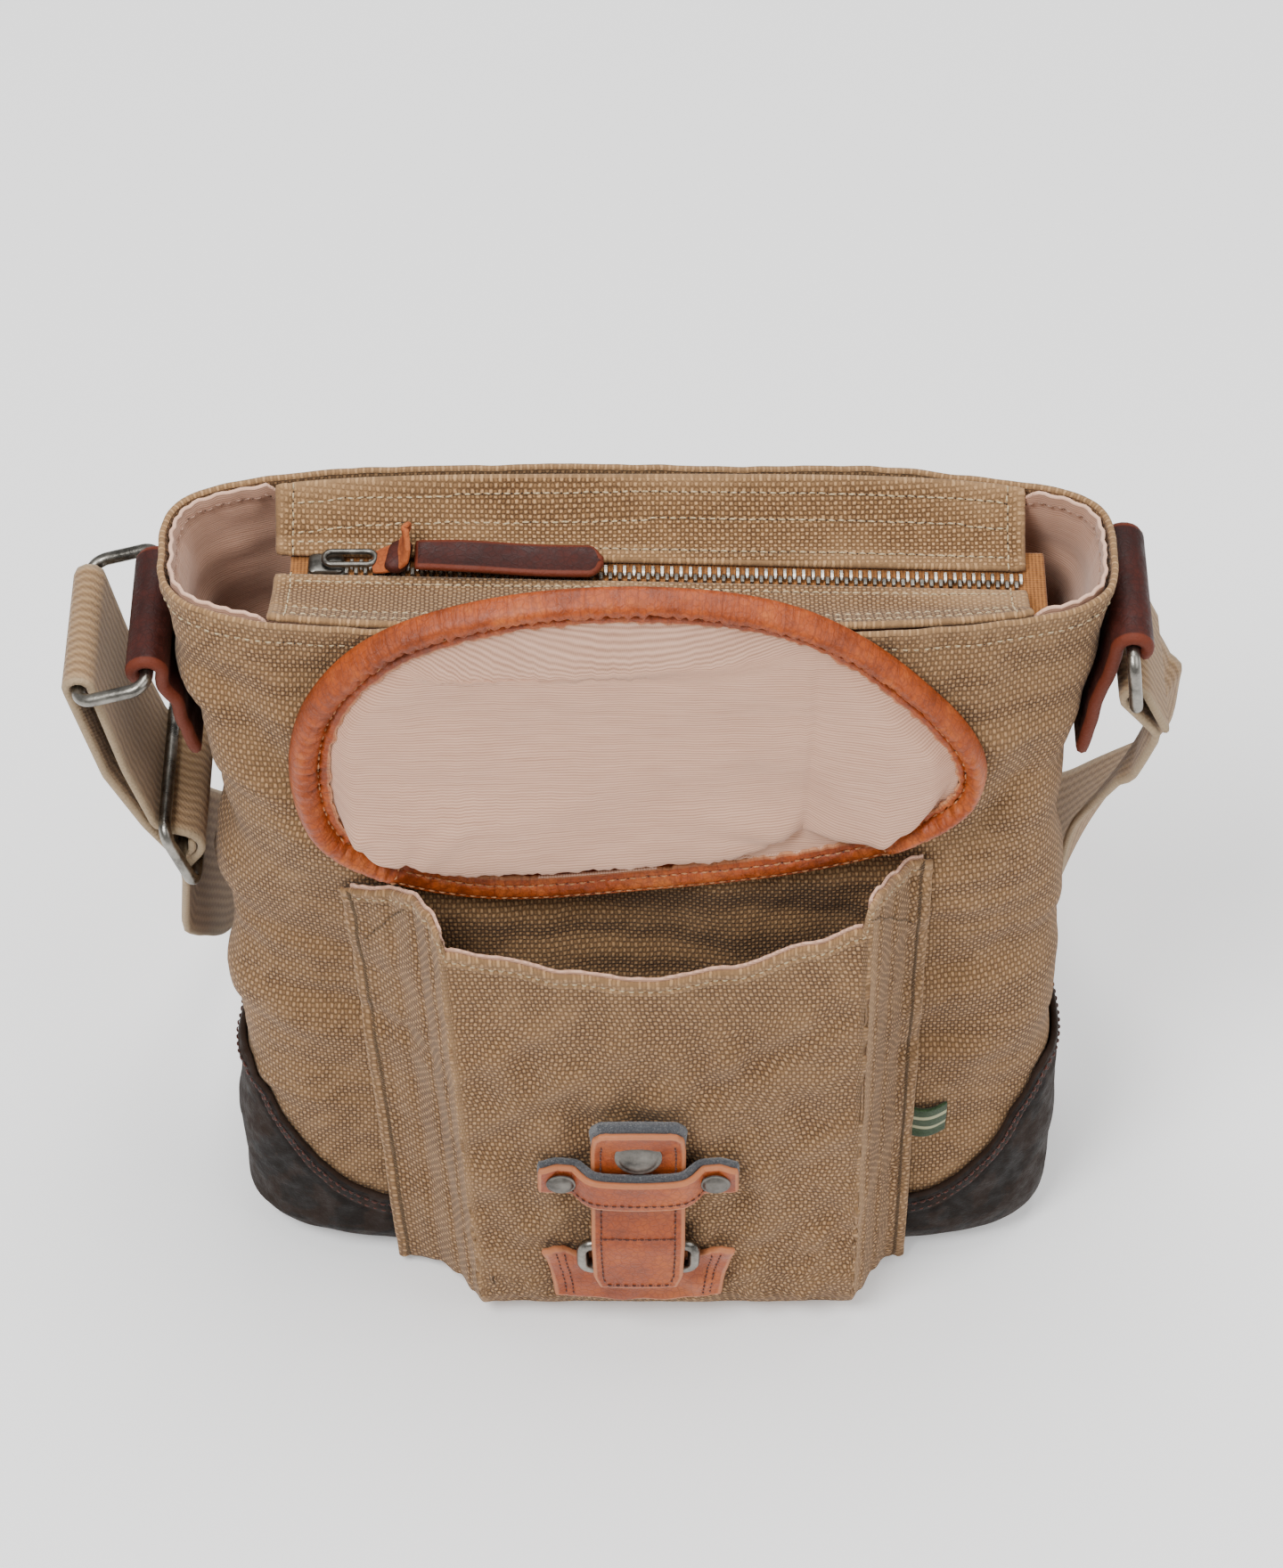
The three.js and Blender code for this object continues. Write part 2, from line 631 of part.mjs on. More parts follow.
function pocketPoint(across, rise) {
  const narrow = mix(0.94, 1, rise);
  const height = POCKET_HEIGHT * column(POCKET_OUTLINE, 'edge', across) - POCKET_BOTTOM;
  const z = POCKET_BOTTOM + height * rise;
  const stand = column(POCKET_OUTLINE, 'stand', across) * column(POCKET_RISE, 'depth', rise);
  const x = POCKET_MIDDLE_X + POCKET_LEAN * (1 - rise) + POCKET_WIDTH * (across - 0.5) * narrow;
  const sewn = pocketGroundY(x, z) - GAP - POCKET;
  return new THREE.Vector3(x, mix(sewn, frontY(z) - POCKET_DEPTH - POCKET, stand), z);
}

function frontPocket() {
  const rises = [0, 0.004, 0.02, 0.07, 0.16, 0.32, 0.46, 0.6, 0.75, 0.88, 1];
  const outline = POCKET_OUTLINE.flatMap((row, i) => {
    const next = POCKET_OUTLINE[i + 1];
    return next && next.level - row.level > 0.135 ? [row.level, (row.level + next.level) / 2] : [row.level];
  });
  const outer = rises.map((rise) => outline.map((across) => pocketPoint(across, rise)));
  const inner = moved(outer, -POCKET).map((line) => line.map((point) => {
    const nearest = pocketGroundY(point.x, point.z) - GAP;
    return point.setY(Math.min(point.y, nearest));
  }));
  return wall(outer, inner);
}

// The folded-up flap

const flapMiddleZ = FLAP_BOTTOM + FLAP_HEIGHT / 2;

// The wall that the flap leans on, as a y for a height, and the same slope above the mouth
function leanY(z) {
  const low = frontY(Math.min(z, HEIGHT));
  const slope = (frontY(HEIGHT) - frontY(HEIGHT * 0.9)) / (HEIGHT * 0.1);
  return low + Math.max(0, z - HEIGHT) * slope - GAP * 2;
}

// The flap's outline, a wide half moon: shares of its half width and half height, from its right side up
const FLAP_OUTLINE = [
  { x: 0.977, z: -0.4 },
  { x: 0.987, z: -0.09 },
  { x: 0.772, z: 0.457 },
  { x: 0.482, z: 0.849 },
  { x: 0.114, z: 1.01 },
  { x: -0.366, z: 0.985 },
  { x: -0.721, z: 0.775 },
  { x: -0.923, z: 0.423 },
  { x: -1.009, z: -0.033 },
  { x: -0.971, z: -0.539 },
  { x: -0.803, z: -0.807 },
  { x: -0.498, z: -0.982 },
  { x: 0.004, z: -0.957 },
  { x: 0.51, z: -0.844 },
  { x: 0.804, z: -0.67 },
];

const flapCurve = new THREE.CatmullRomCurve3(
  FLAP_OUTLINE.map(({ x, z }) => new THREE.Vector3((x * FLAP_WIDTH) / 2, 0, (z * FLAP_HEIGHT) / 2)), true,
);

// A point of the outline from the flap's middle, at a share of the way around
function flapEdge(share) {
  const { x, z } = flapCurve.getPointAt(share);
  const tilt = THREE.MathUtils.degToRad(FLAP_TILT);
  return { x: x * Math.cos(tilt) - z * Math.sin(tilt), z: x * Math.sin(tilt) + z * Math.cos(tilt) };
}

function flapGrid(shares, lift) {
  return shares.map((share) => steps(FLAP_AROUND - 1).map((_, i) => {
    const edge = flapEdge(i / FLAP_AROUND);
    const z = flapMiddleZ + edge.z * share;
    return new THREE.Vector3(edge.x * share + 1, leanY(z) - lift(share, edge.z / FLAP_HEIGHT), z);
  }));
}

const rimStart = 1 - (2 * FLAP_RIM_WIDTH) / FLAP_HEIGHT;

function rimLift(share) {
  const across = clamp01((share - rimStart) / (1 - rimStart));
  return FLAP_PLATE + FLAP_RIM_HEIGHT * Math.sin(Math.PI * Math.min(1, across * 0.94 + 0.06));
}

function flapLeather() {
  const shares = [0.2, rimStart - 0.02, rimStart, mix(rimStart, 1, 0.25), mix(rimStart, 1, 0.6), 0.98, 1];
  const front = flapGrid(shares, (share) => (share < rimStart ? FLAP_PLATE : rimLift(share)));
  const back = flapGrid(shares, (share) => (share > rimStart ? GAP * 3 * (share - rimStart) / (1 - rimStart) : 0));
  return wall(front, back, { around: true, floor: true });
}

// The flap's lining fills the dish inside the rim and puffs out towards its lower edge
function flapLining() {
  const shares = [0.25, 0.5, 0.72, 0.88, 1].map((share) => share * (rimStart - 0.035));
  const puff = (share, height) => {
    const inside = share / rimStart;
    const low = smooth(clamp01(0.55 - height * inside * 1.6));
    return FLAP_PUFF * low * smooth(clamp01((1 - inside) * 2.6));
  };
  const bottom = flapGrid(shares, (share, height) => FLAP_PLATE + GAP + 0.4 + puff(share, height));
  const top = flapGrid(shares, (share, height) => FLAP_PLATE + GAP + 0.4 + LINING + puff(share, height));
  return wall(top, bottom, { around: true, floor: true });
}

// The clasp on the pocket's face

const faceY = (z) => pocketPoint(0.5, clamp01((z - POCKET_BOTTOM) / (POCKET_HEIGHT * 0.87))).y;
const patchY = faceY(PATCH_BOTTOM + PATCH_HEIGHT) - GAP * 2;

// A flat plate standing in front of the pocket, from an outline of x and z
function frontPlate(outline, thickness, y) {
  const shape = new THREE.Shape(outline.map(([x, z]) => new THREE.Vector2(x, z)));
  const geometry = new THREE.ExtrudeGeometry(shape, { depth: thickness, bevelEnabled: false });
  geometry.rotateX(Math.PI / 2);
  geometry.translate(CLASP_MIDDLE_X, y, 0);
  return geometry;
}

function claspPatch() {
  const half = PATCH_WIDTH / 2;
  const low = half - 4;
  const top = PATCH_BOTTOM + PATCH_HEIGHT;
  const dip = top - 5;
  const outline = [
    [-low, PATCH_BOTTOM], [low, PATCH_BOTTOM], [half, top], [half * 0.66, dip], [-half * 0.66, dip], [-half, top],
  ];
  return frontPlate(outline, CLASP_LEATHER, patchY);
}

function disc(diameter, height, x, y, z) {
  const profile = [[0, 0], [diameter / 2, 0], [diameter / 2, height * 0.45], [diameter * 0.36, height], [0, height]];
  const geometry = new THREE.LatheGeometry(profile.map(([r, h]) => new THREE.Vector2(r, h)), RIVET_SIDES);
  geometry.rotateX(Math.PI);
  geometry.translate(x, y, z);
  return geometry;
}

const claspLayerY = patchY - CLASP_LEATHER - GAP;
const ringPlaneY = claspLayerY - CLASP_WIRE / 2;
const ringZ = PATCH_BOTTOM + PATCH_HEIGHT - 1;

function claspRing() {
  const middle = new THREE.Vector3(CLASP_MIDDLE_X, ringPlaneY, ringZ);
  const loop = roundedLoop(
    middle, new THREE.Vector3(1, 0, 0), FRAME_UP,
    CLASP_RING_WIDTH - CLASP_WIRE, CLASP_RING_HEIGHT - CLASP_WIRE, 4, 2,
  );
  return wire(loop, CLASP_WIRE, new THREE.Vector3(0, 1, 0), true);
}

// The tab lies over the ring, passes close to the pocket under the keeper and curls out at its top:
// stand is its distance from the pocket's face
const ringStand = 3 * GAP + CLASP_LEATHER + CLASP_WIRE - CLASP_FELT;
const TAB_ROWS = [
  { z: ringZ - CLASP_RING_HEIGHT * 0.7, stand: ringStand, half: 0.42 },
  { z: ringZ - CLASP_RING_HEIGHT * 0.4, stand: ringStand, half: 0.48 },
  { z: ringZ + CLASP_RING_HEIGHT * 0.62, stand: ringStand, half: 0.5 },
  { z: KEEPER_BOTTOM - KEEPER_HEIGHT, stand: 1.4, half: 0.5 },
  { z: KEEPER_BOTTOM + KEEPER_HEIGHT / 2, stand: 0.8, half: 0.5 },
  { z: TAB_TOP - 13, stand: 1.6, half: 0.5 },
  { z: TAB_TOP - 3, stand: 4.6, half: 0.48 },
  { z: TAB_TOP, stand: 5.8, half: 0.42 },
];

function tabLayer(inner, thickness, rows) {
  const grid = rows.map((row) => [-1, -0.5, 0, 0.5, 1].map((side) => (
    new THREE.Vector3(CLASP_MIDDLE_X + side * row.half * TAB_WIDTH, faceY(row.z) - inner - row.stand, row.z)
  )));
  const outer = grid.map((line) => line.map((point) => point.clone().setY(point.y - thickness)));
  return wall(grid, outer);
}

const claspTab = () => tabLayer(CLASP_FELT + GAP, CLASP_LEATHER, TAB_ROWS);
const claspTabBacking = () => tabLayer(0, CLASP_FELT, TAB_ROWS.slice(3));

// The keeper bridges the tab: its ends lie on the pocket and its middle arches over
const KEEPER_ARCH = [
  { across: -1, lift: 0.03 },
  { across: -0.8, lift: 0 },
  { across: -0.6, lift: 0.02 },
  { across: -0.47, lift: 0.96 },
  { across: -0.34, lift: 1.04 },
  { across: 0, lift: 1.08 },
  { across: 0.34, lift: 1.04 },
  { across: 0.47, lift: 0.96 },
  { across: 0.6, lift: 0.02 },
  { across: 0.8, lift: 0 },
  { across: 1, lift: 0.03 },
];

const keeperBaseY = faceY(KEEPER_BOTTOM) - GAP * 2;
const keeperLift = CLASP_FELT + CLASP_LEATHER + 5 * GAP;
const keeperFaceY = keeperBaseY - CLASP_FELT - CLASP_LEATHER - 4 * GAP;

function keeperLayer(inner, thickness) {
  const grid = steps(2).map((share) => KEEPER_ARCH.map(({ across, lift }) => {
    const drop = -2.5 * Math.cos((across * Math.PI) / 2);
    const z = KEEPER_BOTTOM + drop + KEEPER_HEIGHT * share;
    return new THREE.Vector3(CLASP_MIDDLE_X + (across * KEEPER_WIDTH) / 2, keeperBaseY - lift * keeperLift, z);
  }));
  return wall(moved(grid, inner + thickness), moved(grid, inner));
}

const claspKeeper = () => keeperLayer(CLASP_FELT + GAP, CLASP_LEATHER);
const claspKeeperBacking = () => keeperLayer(0, CLASP_FELT);

function claspSnap() {
  const low = TAB_ROWS[5];
  const high = TAB_ROWS[6];
  const lean = Math.atan2(high.stand - low.stand, high.z - low.z);
  const geometry = disc(SNAP_DIAMETER, 1.6, 0, -GAP * 5, 0);
  geometry.rotateX(lean / 2);
  const y = faceY(low.z) - low.stand - CLASP_FELT - GAP - CLASP_LEATHER;
  geometry.translate(CLASP_MIDDLE_X, y, low.z);
  return geometry;
}

// The label folded into the pocket's right seam

function wovenLabel() {
  const seam = pocketLeft + POCKET_WIDTH;
  const grid = steps(1).map((share) => steps(3).map((across) => {
    const x = seam + LABEL_WIDTH * across;
    const z = LABEL_LEVEL + LABEL_HEIGHT * share;
    return new THREE.Vector3(x, foldedFrontY(x, z) - GAP - LABEL / 2 - 1.5 * Math.sin(across * Math.PI), z);
  }));
  return wall(moved(grid, LABEL / 2), moved(grid, -LABEL / 2));
}

// The side tabs and rings

const rollRadius = RING_WIRE / 2 + LAYER_GAP + TAB_LEATHER / 2;
const TAB_ROLL_LEVEL = { '-1': 0.9, 1: 0.935 };

function rollCentre(side) {
  const z = TAB_ROLL_LEVEL[side] * HEIGHT;
  return new THREE.Vector3(side * (Math.abs(sideX(z, side)) + 3 * LAYER_GAP + TAB_LEATHER + RING_WIRE / 2), 0, z);
}

// The tab's path: up the side wall, over the ring's bar and down outside it
function tabPath(side) {
  const centre = rollCentre(side);
  const lie = 2 * LAYER_GAP + TAB_LEATHER / 2;
  const rise = steps(6).map((share) => {
    const z = mix(SIDE_TAB_BOTTOM, centre.z, share);
    return new THREE.Vector2(sideX(z, side) + side * lie, z);
  });
  const roll = steps(6).slice(1).map((share) => {
    const angle = Math.PI * (1 - share * 1.16);
    return new THREE.Vector2(centre.x + side * rollRadius * Math.cos(angle), centre.z + rollRadius * Math.sin(angle));
  });
  return [...rise, ...roll];
}

function sideTab(side) {
  const path = tabPath(side);
  const normals = path.map((point, i) => {
    const next = path[Math.min(i + 1, path.length - 1)];
    const before = path[Math.max(i - 1, 0)];
    const run = next.clone().sub(before).normalize();
    return new THREE.Vector2(-run.y, run.x);
  });
  const edge = (offset) => path.map((point, i) => point.clone().addScaledVector(normals[i], offset));
  const shape = new THREE.Shape([...edge(TAB_LEATHER / 2), ...edge(-TAB_LEATHER / 2).reverse()]);
  const geometry = new THREE.ExtrudeGeometry(shape, { depth: SIDE_TAB_WIDTH, bevelEnabled: false });
  geometry.rotateX(Math.PI / 2);
  geometry.translate(0, SIDE_TAB_WIDTH / 2, 0);
  return geometry;
}

// A small rivet head on the outside of the tab, below its roll
function tabRivet(side) {
  const z = SIDE_TAB_BOTTOM + (rollCentre(side).z - SIDE_TAB_BOTTOM) * 0.4;
  const geometry = disc(TAB_RIVET_DIAMETER, 1.8, 0, 0, 0);
  geometry.rotateZ((side * Math.PI) / 2);
  geometry.translate(sideX(z, side) + side * (TAB_LEATHER + 3.4 * LAYER_GAP), 0, z);
  return geometry;
}

const RING_LEAN = { '-1': { x: -0.95, z: -0.31 }, 1: { x: 0.12, z: -0.99 } };

const ringDirection = (side) => new THREE.Vector3(RING_LEAN[side].x, 0, RING_LEAN[side].z).normalize();

function sideRing(side) {
  const outwards = ringDirection(side);
  const middle = rollCentre(side).addScaledVector(outwards, RING_DEPTH / 2);
  const along = new THREE.Vector3(0, 1, 0);
  const loop = roundedLoop(middle, outwards, along, RING_DEPTH, RING_WIDTH, RING_CORNER);
  return wire(loop, RING_WIRE, new THREE.Vector3().crossVectors(outwards, along), true);
}

const ringBar = (side) => rollCentre(side).addScaledVector(ringDirection(side), RING_DEPTH);

// The three-bar slider on the left run of the webbing

const wrapRadius = RING_WIRE / 2 + LAYER_GAP + WEBBING / 2;
const layerStep = WEBBING + GAP;
const sliderDown = new THREE.Vector3(0.3, 0, -0.954).normalize();
const sliderIn = new THREE.Vector3(sliderDown.z, 0, -sliderDown.x).multiplyScalar(-1);
const sliderMiddle = () => ringBar(-1)
  .addScaledVector(sliderDown, HEIGHT * 0.26)
  .addScaledVector(sliderIn, 1.5);

function strapAdjuster() {
  const along = new THREE.Vector3(0, 1, 0);
  const middle = sliderMiddle();
  const outline = roundedLoop(middle, sliderDown, along, 2 * SLIDER_BAR_SPACING, RING_WIDTH, RING_CORNER, 3);
  const ends = [-1, 1].map((end) => middle.clone().addScaledVector(along, (end * RING_WIDTH) / 2));
  return joined([wire(outline, RING_WIRE, sliderIn, true), wire(ends, RING_WIRE, sliderIn, false)]);
}

// The webbing

// A point of the webbing near the slider: s down the strap, m towards the bag
const nearSlider = (s, m) => sliderMiddle().addScaledVector(sliderDown, s).addScaledVector(sliderIn, m);

function arc(centre, radius, from, to, axisA, axisB, count) {
  return steps(count).map((share) => {
    const angle = THREE.MathUtils.degToRad(mix(from, to, share));
    return centre.clone()
      .addScaledVector(axisA, radius * Math.cos(angle))
      .addScaledVector(axisB, radius * Math.sin(angle));
  });
}

// Sewn end round the slider's middle bar, up outside, over the left ring, down inside, through the slider
function leftWebbing() {
  const bar = ringBar(-1);
  const wide = wrapRadius + layerStep;
  const sewn = arc(sliderMiddle(), wrapRadius, 90, -90, sliderDown, sliderIn, 5);
  const up = [nearSlider(-SLIDER_BAR_SPACING, -wide), nearSlider(-HEIGHT * 0.13, -9)];
  const over = arc(bar, wrapRadius, -100, -262, sliderDown, sliderIn, 6);
  const down = [nearSlider(-HEIGHT * 0.13, -2.6)];
  const turn = THREE.MathUtils.radToDeg(Math.asin((wide + wrapRadius) / SLIDER_BAR_SPACING));
  const past = (end, from, to) => arc(
    nearSlider(end * SLIDER_BAR_SPACING, 0), wrapRadius, from, to, sliderDown, sliderIn, 2,
  );
  const through = arc(sliderMiddle(), wide, 90 + turn, 90 - turn, sliderDown, sliderIn, 4);
  return [...sewn, ...up, ...over, ...down, ...past(-1, -90, turn - 90), ...through, ...past(1, 270 - turn, 270)];
}

// The right end: up to the ring from below, round its bar and back down outside itself
function rightWebbing() {
  const bar = ringBar(1);
  const away = new THREE.Vector3(0.5, 0, -0.866);
  const outside = new THREE.Vector3(0.866, 0, 0.5);
  const under = bar.clone().addScaledVector(away, 17).addScaledVector(outside, -1.2);
  const round = arc(bar, wrapRadius, -100, -260, away, outside, 6);
  const end = bar.clone().addScaledVector(away, 17).addScaledVector(outside, 1.9);
  return [under, ...round, end];
}

function freeWebbing() {
  const at = (row) => new THREE.Vector3(row.x * MOUTH_WIDTH / 2, row.y * BASE_DEPTH, row.z * HEIGHT);
  const middle = new THREE.CatmullRomCurve3(STRAP_ROUTE.map(at));
  const tips = new THREE.CatmullRomCurve3(STRAP_ROUTE.map((row) => new THREE.Vector3(...row.across).normalize()));
  return steps(30).map((share) => ({ at: middle.getPoint(share), across: tips.getPoint(share).normalize() }));
}

function strapWebbing() {
  const straight = new THREE.Vector3(0, 1, 0);
  const flat = (point) => ({ at: point, across: straight.clone() });
  const frames = [...leftWebbing().map(flat), ...freeWebbing(), ...rightWebbing().map(flat)];
  const runs = frames.slice(1).map((frame, i) => frame.at.clone().sub(frames[i].at).normalize());
  const sections = frames.map((frame, i) => {
    const before = runs[Math.max(i - 1, 0)];
    const after = runs[Math.min(i, runs.length - 1)];
    const run = before.clone().add(after).normalize();
    const across = frame.across.clone().addScaledVector(run, -frame.across.dot(run)).normalize();
    const normal = new THREE.Vector3().crossVectors(run, across).divideScalar(run.dot(after));
    return [[-1, -1], [1, -1], [1, 1], [-1, 1]].map(([side, face]) => (
      frame.at.clone()
        .addScaledVector(across, (side * WEBBING_WIDTH) / 2)
        .addScaledVector(normal, (face * WEBBING) / 2)
    ));
  });
  return sweep(sections);
}

// Materials

const finish = (color, roughness, metalness = 0) => ({ color, roughness, metalness });
const CANVAS_FINISH = finish(0x9b7f5a, 0.95);
const LINING_FINISH = finish(0xb79b84, 0.92);
const TAN_FINISH = finish(0xa85a2c, 0.55);
const BURGUNDY_FINISH = finish(0x4a2320, 0.5);
const DARK_LEATHER_FINISH = finish(0x2e2019, 0.6);
const METAL_FINISH = finish(0x77746e, 0.35, 1);
const FELT_FINISH = finish(0x4c4c4a, 1);
const TAPE_FINISH = finish(0x8a6238, 0.9);
const WEBBING_FINISH = finish(0xa3906f, 0.95);
const LABEL_FINISH = finish(0x3c5a35, 0.85);

const bag = new THREE.Group();

function add(name, geometry, look) {
  const mesh = new THREE.Mesh(geometry, new THREE.MeshStandardMaterial({ ...look, name }));
  mesh.name = name;
  bag.add(mesh);
  return mesh;
}

add('canvas_body', canvasBody(), CANVAS_FINISH);
add('leather_base', leatherBase(), DARK_LEATHER_FINISH);
add('body_lining', bodyLining(), LINING_FINISH);
add('flange_rear', flange(1), CANVAS_FINISH);
add('flange_front', flange(-1), CANVAS_FINISH);
add('zip_tape', zipTape(), TAPE_FINISH);
add('zip_teeth', zipTeeth(), METAL_FINISH);
add('zip_slider', zipSlider(), METAL_FINISH);
add('zip_puller', zipPuller(), METAL_FINISH);
add('pull_strap', pullStrap(), BURGUNDY_FINISH);
add('pull_knot', pullKnot(), BURGUNDY_FINISH);
add('front_pocket', frontPocket(), CANVAS_FINISH);
add('flap_leather', flapLeather(), TAN_FINISH);
add('flap_lining', flapLining(), LINING_FINISH);
add('clasp_patch', claspPatch(), TAN_FINISH);
add('clasp_ring', claspRing(), METAL_FINISH);
add('clasp_tab', claspTab(), TAN_FINISH);
add('clasp_tab_backing', claspTabBacking(), FELT_FINISH);
add('clasp_keeper', claspKeeper(), TAN_FINISH);
add('clasp_keeper_backing', claspKeeperBacking(), FELT_FINISH);
add('woven_label', wovenLabel(), LABEL_FINISH);
add('strap_adjuster', strapAdjuster(), METAL_FINISH);
add('strap_webbing', strapWebbing(), WEBBING_FINISH);

for (const [name, side] of [['left', -1], ['right', 1]]) {
  const patchRivetX = CLASP_MIDDLE_X + (side * PATCH_RIVET_SPACING) / 2;
  const keeperRivetX = CLASP_MIDDLE_X + (side * KEEPER_RIVET_SPACING) / 2;
  add(`clasp_patch_rivet_${name}`,
    disc(SMALL_RIVET_DIAMETER, 1.8, patchRivetX, patchY - CLASP_LEATHER - GAP, PATCH_BOTTOM + PATCH_HEIGHT * 0.35), METAL_FINISH);
  add(`keeper_rivet_${name}`,
    disc(RIVET_DIAMETER, 2, keeperRivetX, keeperFaceY, KEEPER_BOTTOM + KEEPER_HEIGHT / 2 - 1), METAL_FINISH);
  add(`side_tab_${name}`, sideTab(side), BURGUNDY_FINISH);
  add(`tab_rivet_${name}`, tabRivet(side), METAL_FINISH);
  add(`side_ring_${name}`, sideRing(side), METAL_FINISH);
}
add('clasp_snap', claspSnap(), METAL_FINISH);

export default bag;
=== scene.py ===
import math

import bpy
import numpy as np
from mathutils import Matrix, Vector


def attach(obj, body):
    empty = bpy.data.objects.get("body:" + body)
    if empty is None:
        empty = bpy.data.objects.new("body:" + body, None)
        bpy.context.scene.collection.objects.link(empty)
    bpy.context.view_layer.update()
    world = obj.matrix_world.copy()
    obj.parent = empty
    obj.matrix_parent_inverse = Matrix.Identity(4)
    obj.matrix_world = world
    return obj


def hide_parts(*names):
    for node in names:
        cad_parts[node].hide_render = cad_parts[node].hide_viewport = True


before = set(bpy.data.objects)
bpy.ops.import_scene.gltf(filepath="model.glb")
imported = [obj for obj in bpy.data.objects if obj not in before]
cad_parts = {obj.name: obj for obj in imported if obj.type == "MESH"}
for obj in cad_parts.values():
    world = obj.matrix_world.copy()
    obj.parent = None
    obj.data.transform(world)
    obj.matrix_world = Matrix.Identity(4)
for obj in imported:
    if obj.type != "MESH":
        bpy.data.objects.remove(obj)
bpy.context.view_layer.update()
rng = np.random.default_rng(7)

# Sizes in millimetres, as in the part's source
MM = 0.001
HEIGHT, MOUTH_WIDTH, MOUTH_DEPTH = 298, 282, 68
BASE_WIDTH, BASE_DEPTH, BASE_ROUND = 265, 95, 16
BASE_SIDE_RISE, BASE_MIDDLE_RISE = 90, 33
CANVAS, LEATHER, LINING = 2, 2.2, 1.2
GAP, LAYER_GAP = 0.3, 0.5
ZIP_LENGTH, ZIP_DROP, ZIP_TAPE_WIDTH, ZIP_TAPE = 214, 17, 26, 0.8
ZIP_SKEW, ZIP_MIDDLE_X, ZIP_MIDDLE_Y = -6.5, 9.6, 3.8
TOOTH_PITCH, FLANGE_WIDTH, FLANGE_MIDDLE_X, FLANGE = 2.8, 221, 4.4, 2.4
SLIDER_LENGTH, SLIDER_WIDTH, SLIDER_HEIGHT = 11, 8, 3.6
PULLER_LENGTH, PULLER_WIDTH, PULLER_WIRE = 17, 7, 1.8
PULL_WIDTH, PULL_LENGTH, PULL, KNOT_LENGTH = 10, 54, 2.2, 11
POCKET_WIDTH, POCKET_DEPTH, POCKET_HEIGHT = 179, 27, 200
POCKET_BOTTOM, POCKET_MIDDLE_X, POCKET_LEAN, POCKET = 5, 0, 5.2, 2
FLAP_WIDTH, FLAP_HEIGHT, FLAP_BOTTOM, FLAP_TILT = 206, 122, 195, 2.5
PATCH_WIDTH, PATCH_HEIGHT, PATCH_BOTTOM, CLASP_MIDDLE_X = 61, 29, 21, 0.8
CLASP_LEATHER, CLASP_FELT, TAB_WIDTH, TAB_TOP = 2.2, 2, 28, 119
KEEPER_WIDTH, KEEPER_HEIGHT, KEEPER_BOTTOM, KEEPER_RIVET_SPACING = 62, 12, 86, 49
RIVET_DIAMETER, SMALL_RIVET_DIAMETER, PATCH_RIVET_SPACING, SNAP_DIAMETER = 9.5, 6.8, 14, 15
CLASP_RING_WIDTH, CLASP_RING_HEIGHT, CLASP_WIRE = 40, 17, 4
LABEL_WIDTH, LABEL_HEIGHT, LABEL, LABEL_LEVEL = 11, 15, 1.2, 67
TAB_LEATHER, SIDE_TAB_WIDTH, SIDE_TAB_BOTTOM = 4, 44, 234
RING_WIRE, RING_WIDTH, RING_CORNER, RING_DEPTH = 4, 57, 5, 22
WEBBING_WIDTH, WEBBING, SLIDER_BAR_SPACING, TAB_RIVET_DIAMETER = 48, 2.5, 13, 7

# Counts: columns around the bag, levels of its skin, rows of a sheet's rounded edge, columns round the flap
AROUND = 320
LEVELS = 260
RIM_ROWS = 3
FLAP_COUNT = 640
# The least wear of a sheet's cut edge, and the step of u that marks where a closed sheet starts again
EDGE_WEAR = 0.75
SEAM_JUMP = 30


def table(names, *rows):
    return dict(zip(names.split(), np.array(rows, float).T))


# The body's sections: width and depth as shares of the straight taper, squareness, and lean in base widths
BODY_SECTIONS = table(
    "level width depth squareness lean",
    (0.0, 1.0, 1.0, 4.6, 0.015),
    (0.15, 0.99, 1.03, 4.6, 0.015),
    (0.3, 0.972, 1.07, 4.4, 0.014),
    (0.54, 0.964, 1.13, 4.2, 0.011),
    (0.65, 0.957, 1.13, 4.2, 0.008),
    (0.755, 0.933, 1.12, 4.4, 0.005),
    (0.84, 0.952, 1.09, 4.6, 0.003),
    (0.92, 0.98, 1.04, 4.0, 0.002),
    (1.0, 1.0, 1.0, 3.6, 0.002),
)
# The pocket from side to side: how far it stands out, and its top edge as a share of its height
POCKET_OUTLINE = table(
    "level stand edge",
    (0, 0, 0.973),
    (0.03, 0.05, 0.985),
    (0.075, 0.17, 1.0),
    (0.12, 0.45, 1.025),
    (0.148, 0.8, 1.045),
    (0.168, 1, 1.03),
    (0.182, 1, 0.982),
    (0.27, 1, 0.962),
    (0.38, 1, 0.931),
    (0.52, 1, 0.912),
    (0.66, 1, 0.941),
    (0.8, 1, 0.998),
    (0.88, 1, 1.035),
    (0.892, 1, 1.095),
    (0.912, 0.8, 1.09),
    (0.94, 0.4, 1.06),
    (0.97, 0.08, 1.04),
    (1, 0, 1.027),
)
POCKET_RISE = table(
    "level depth", (0, 0), (0.004, 0.5), (0.02, 0.84), (0.07, 1.0), (0.4, 1.03), (1, 1.0)
)
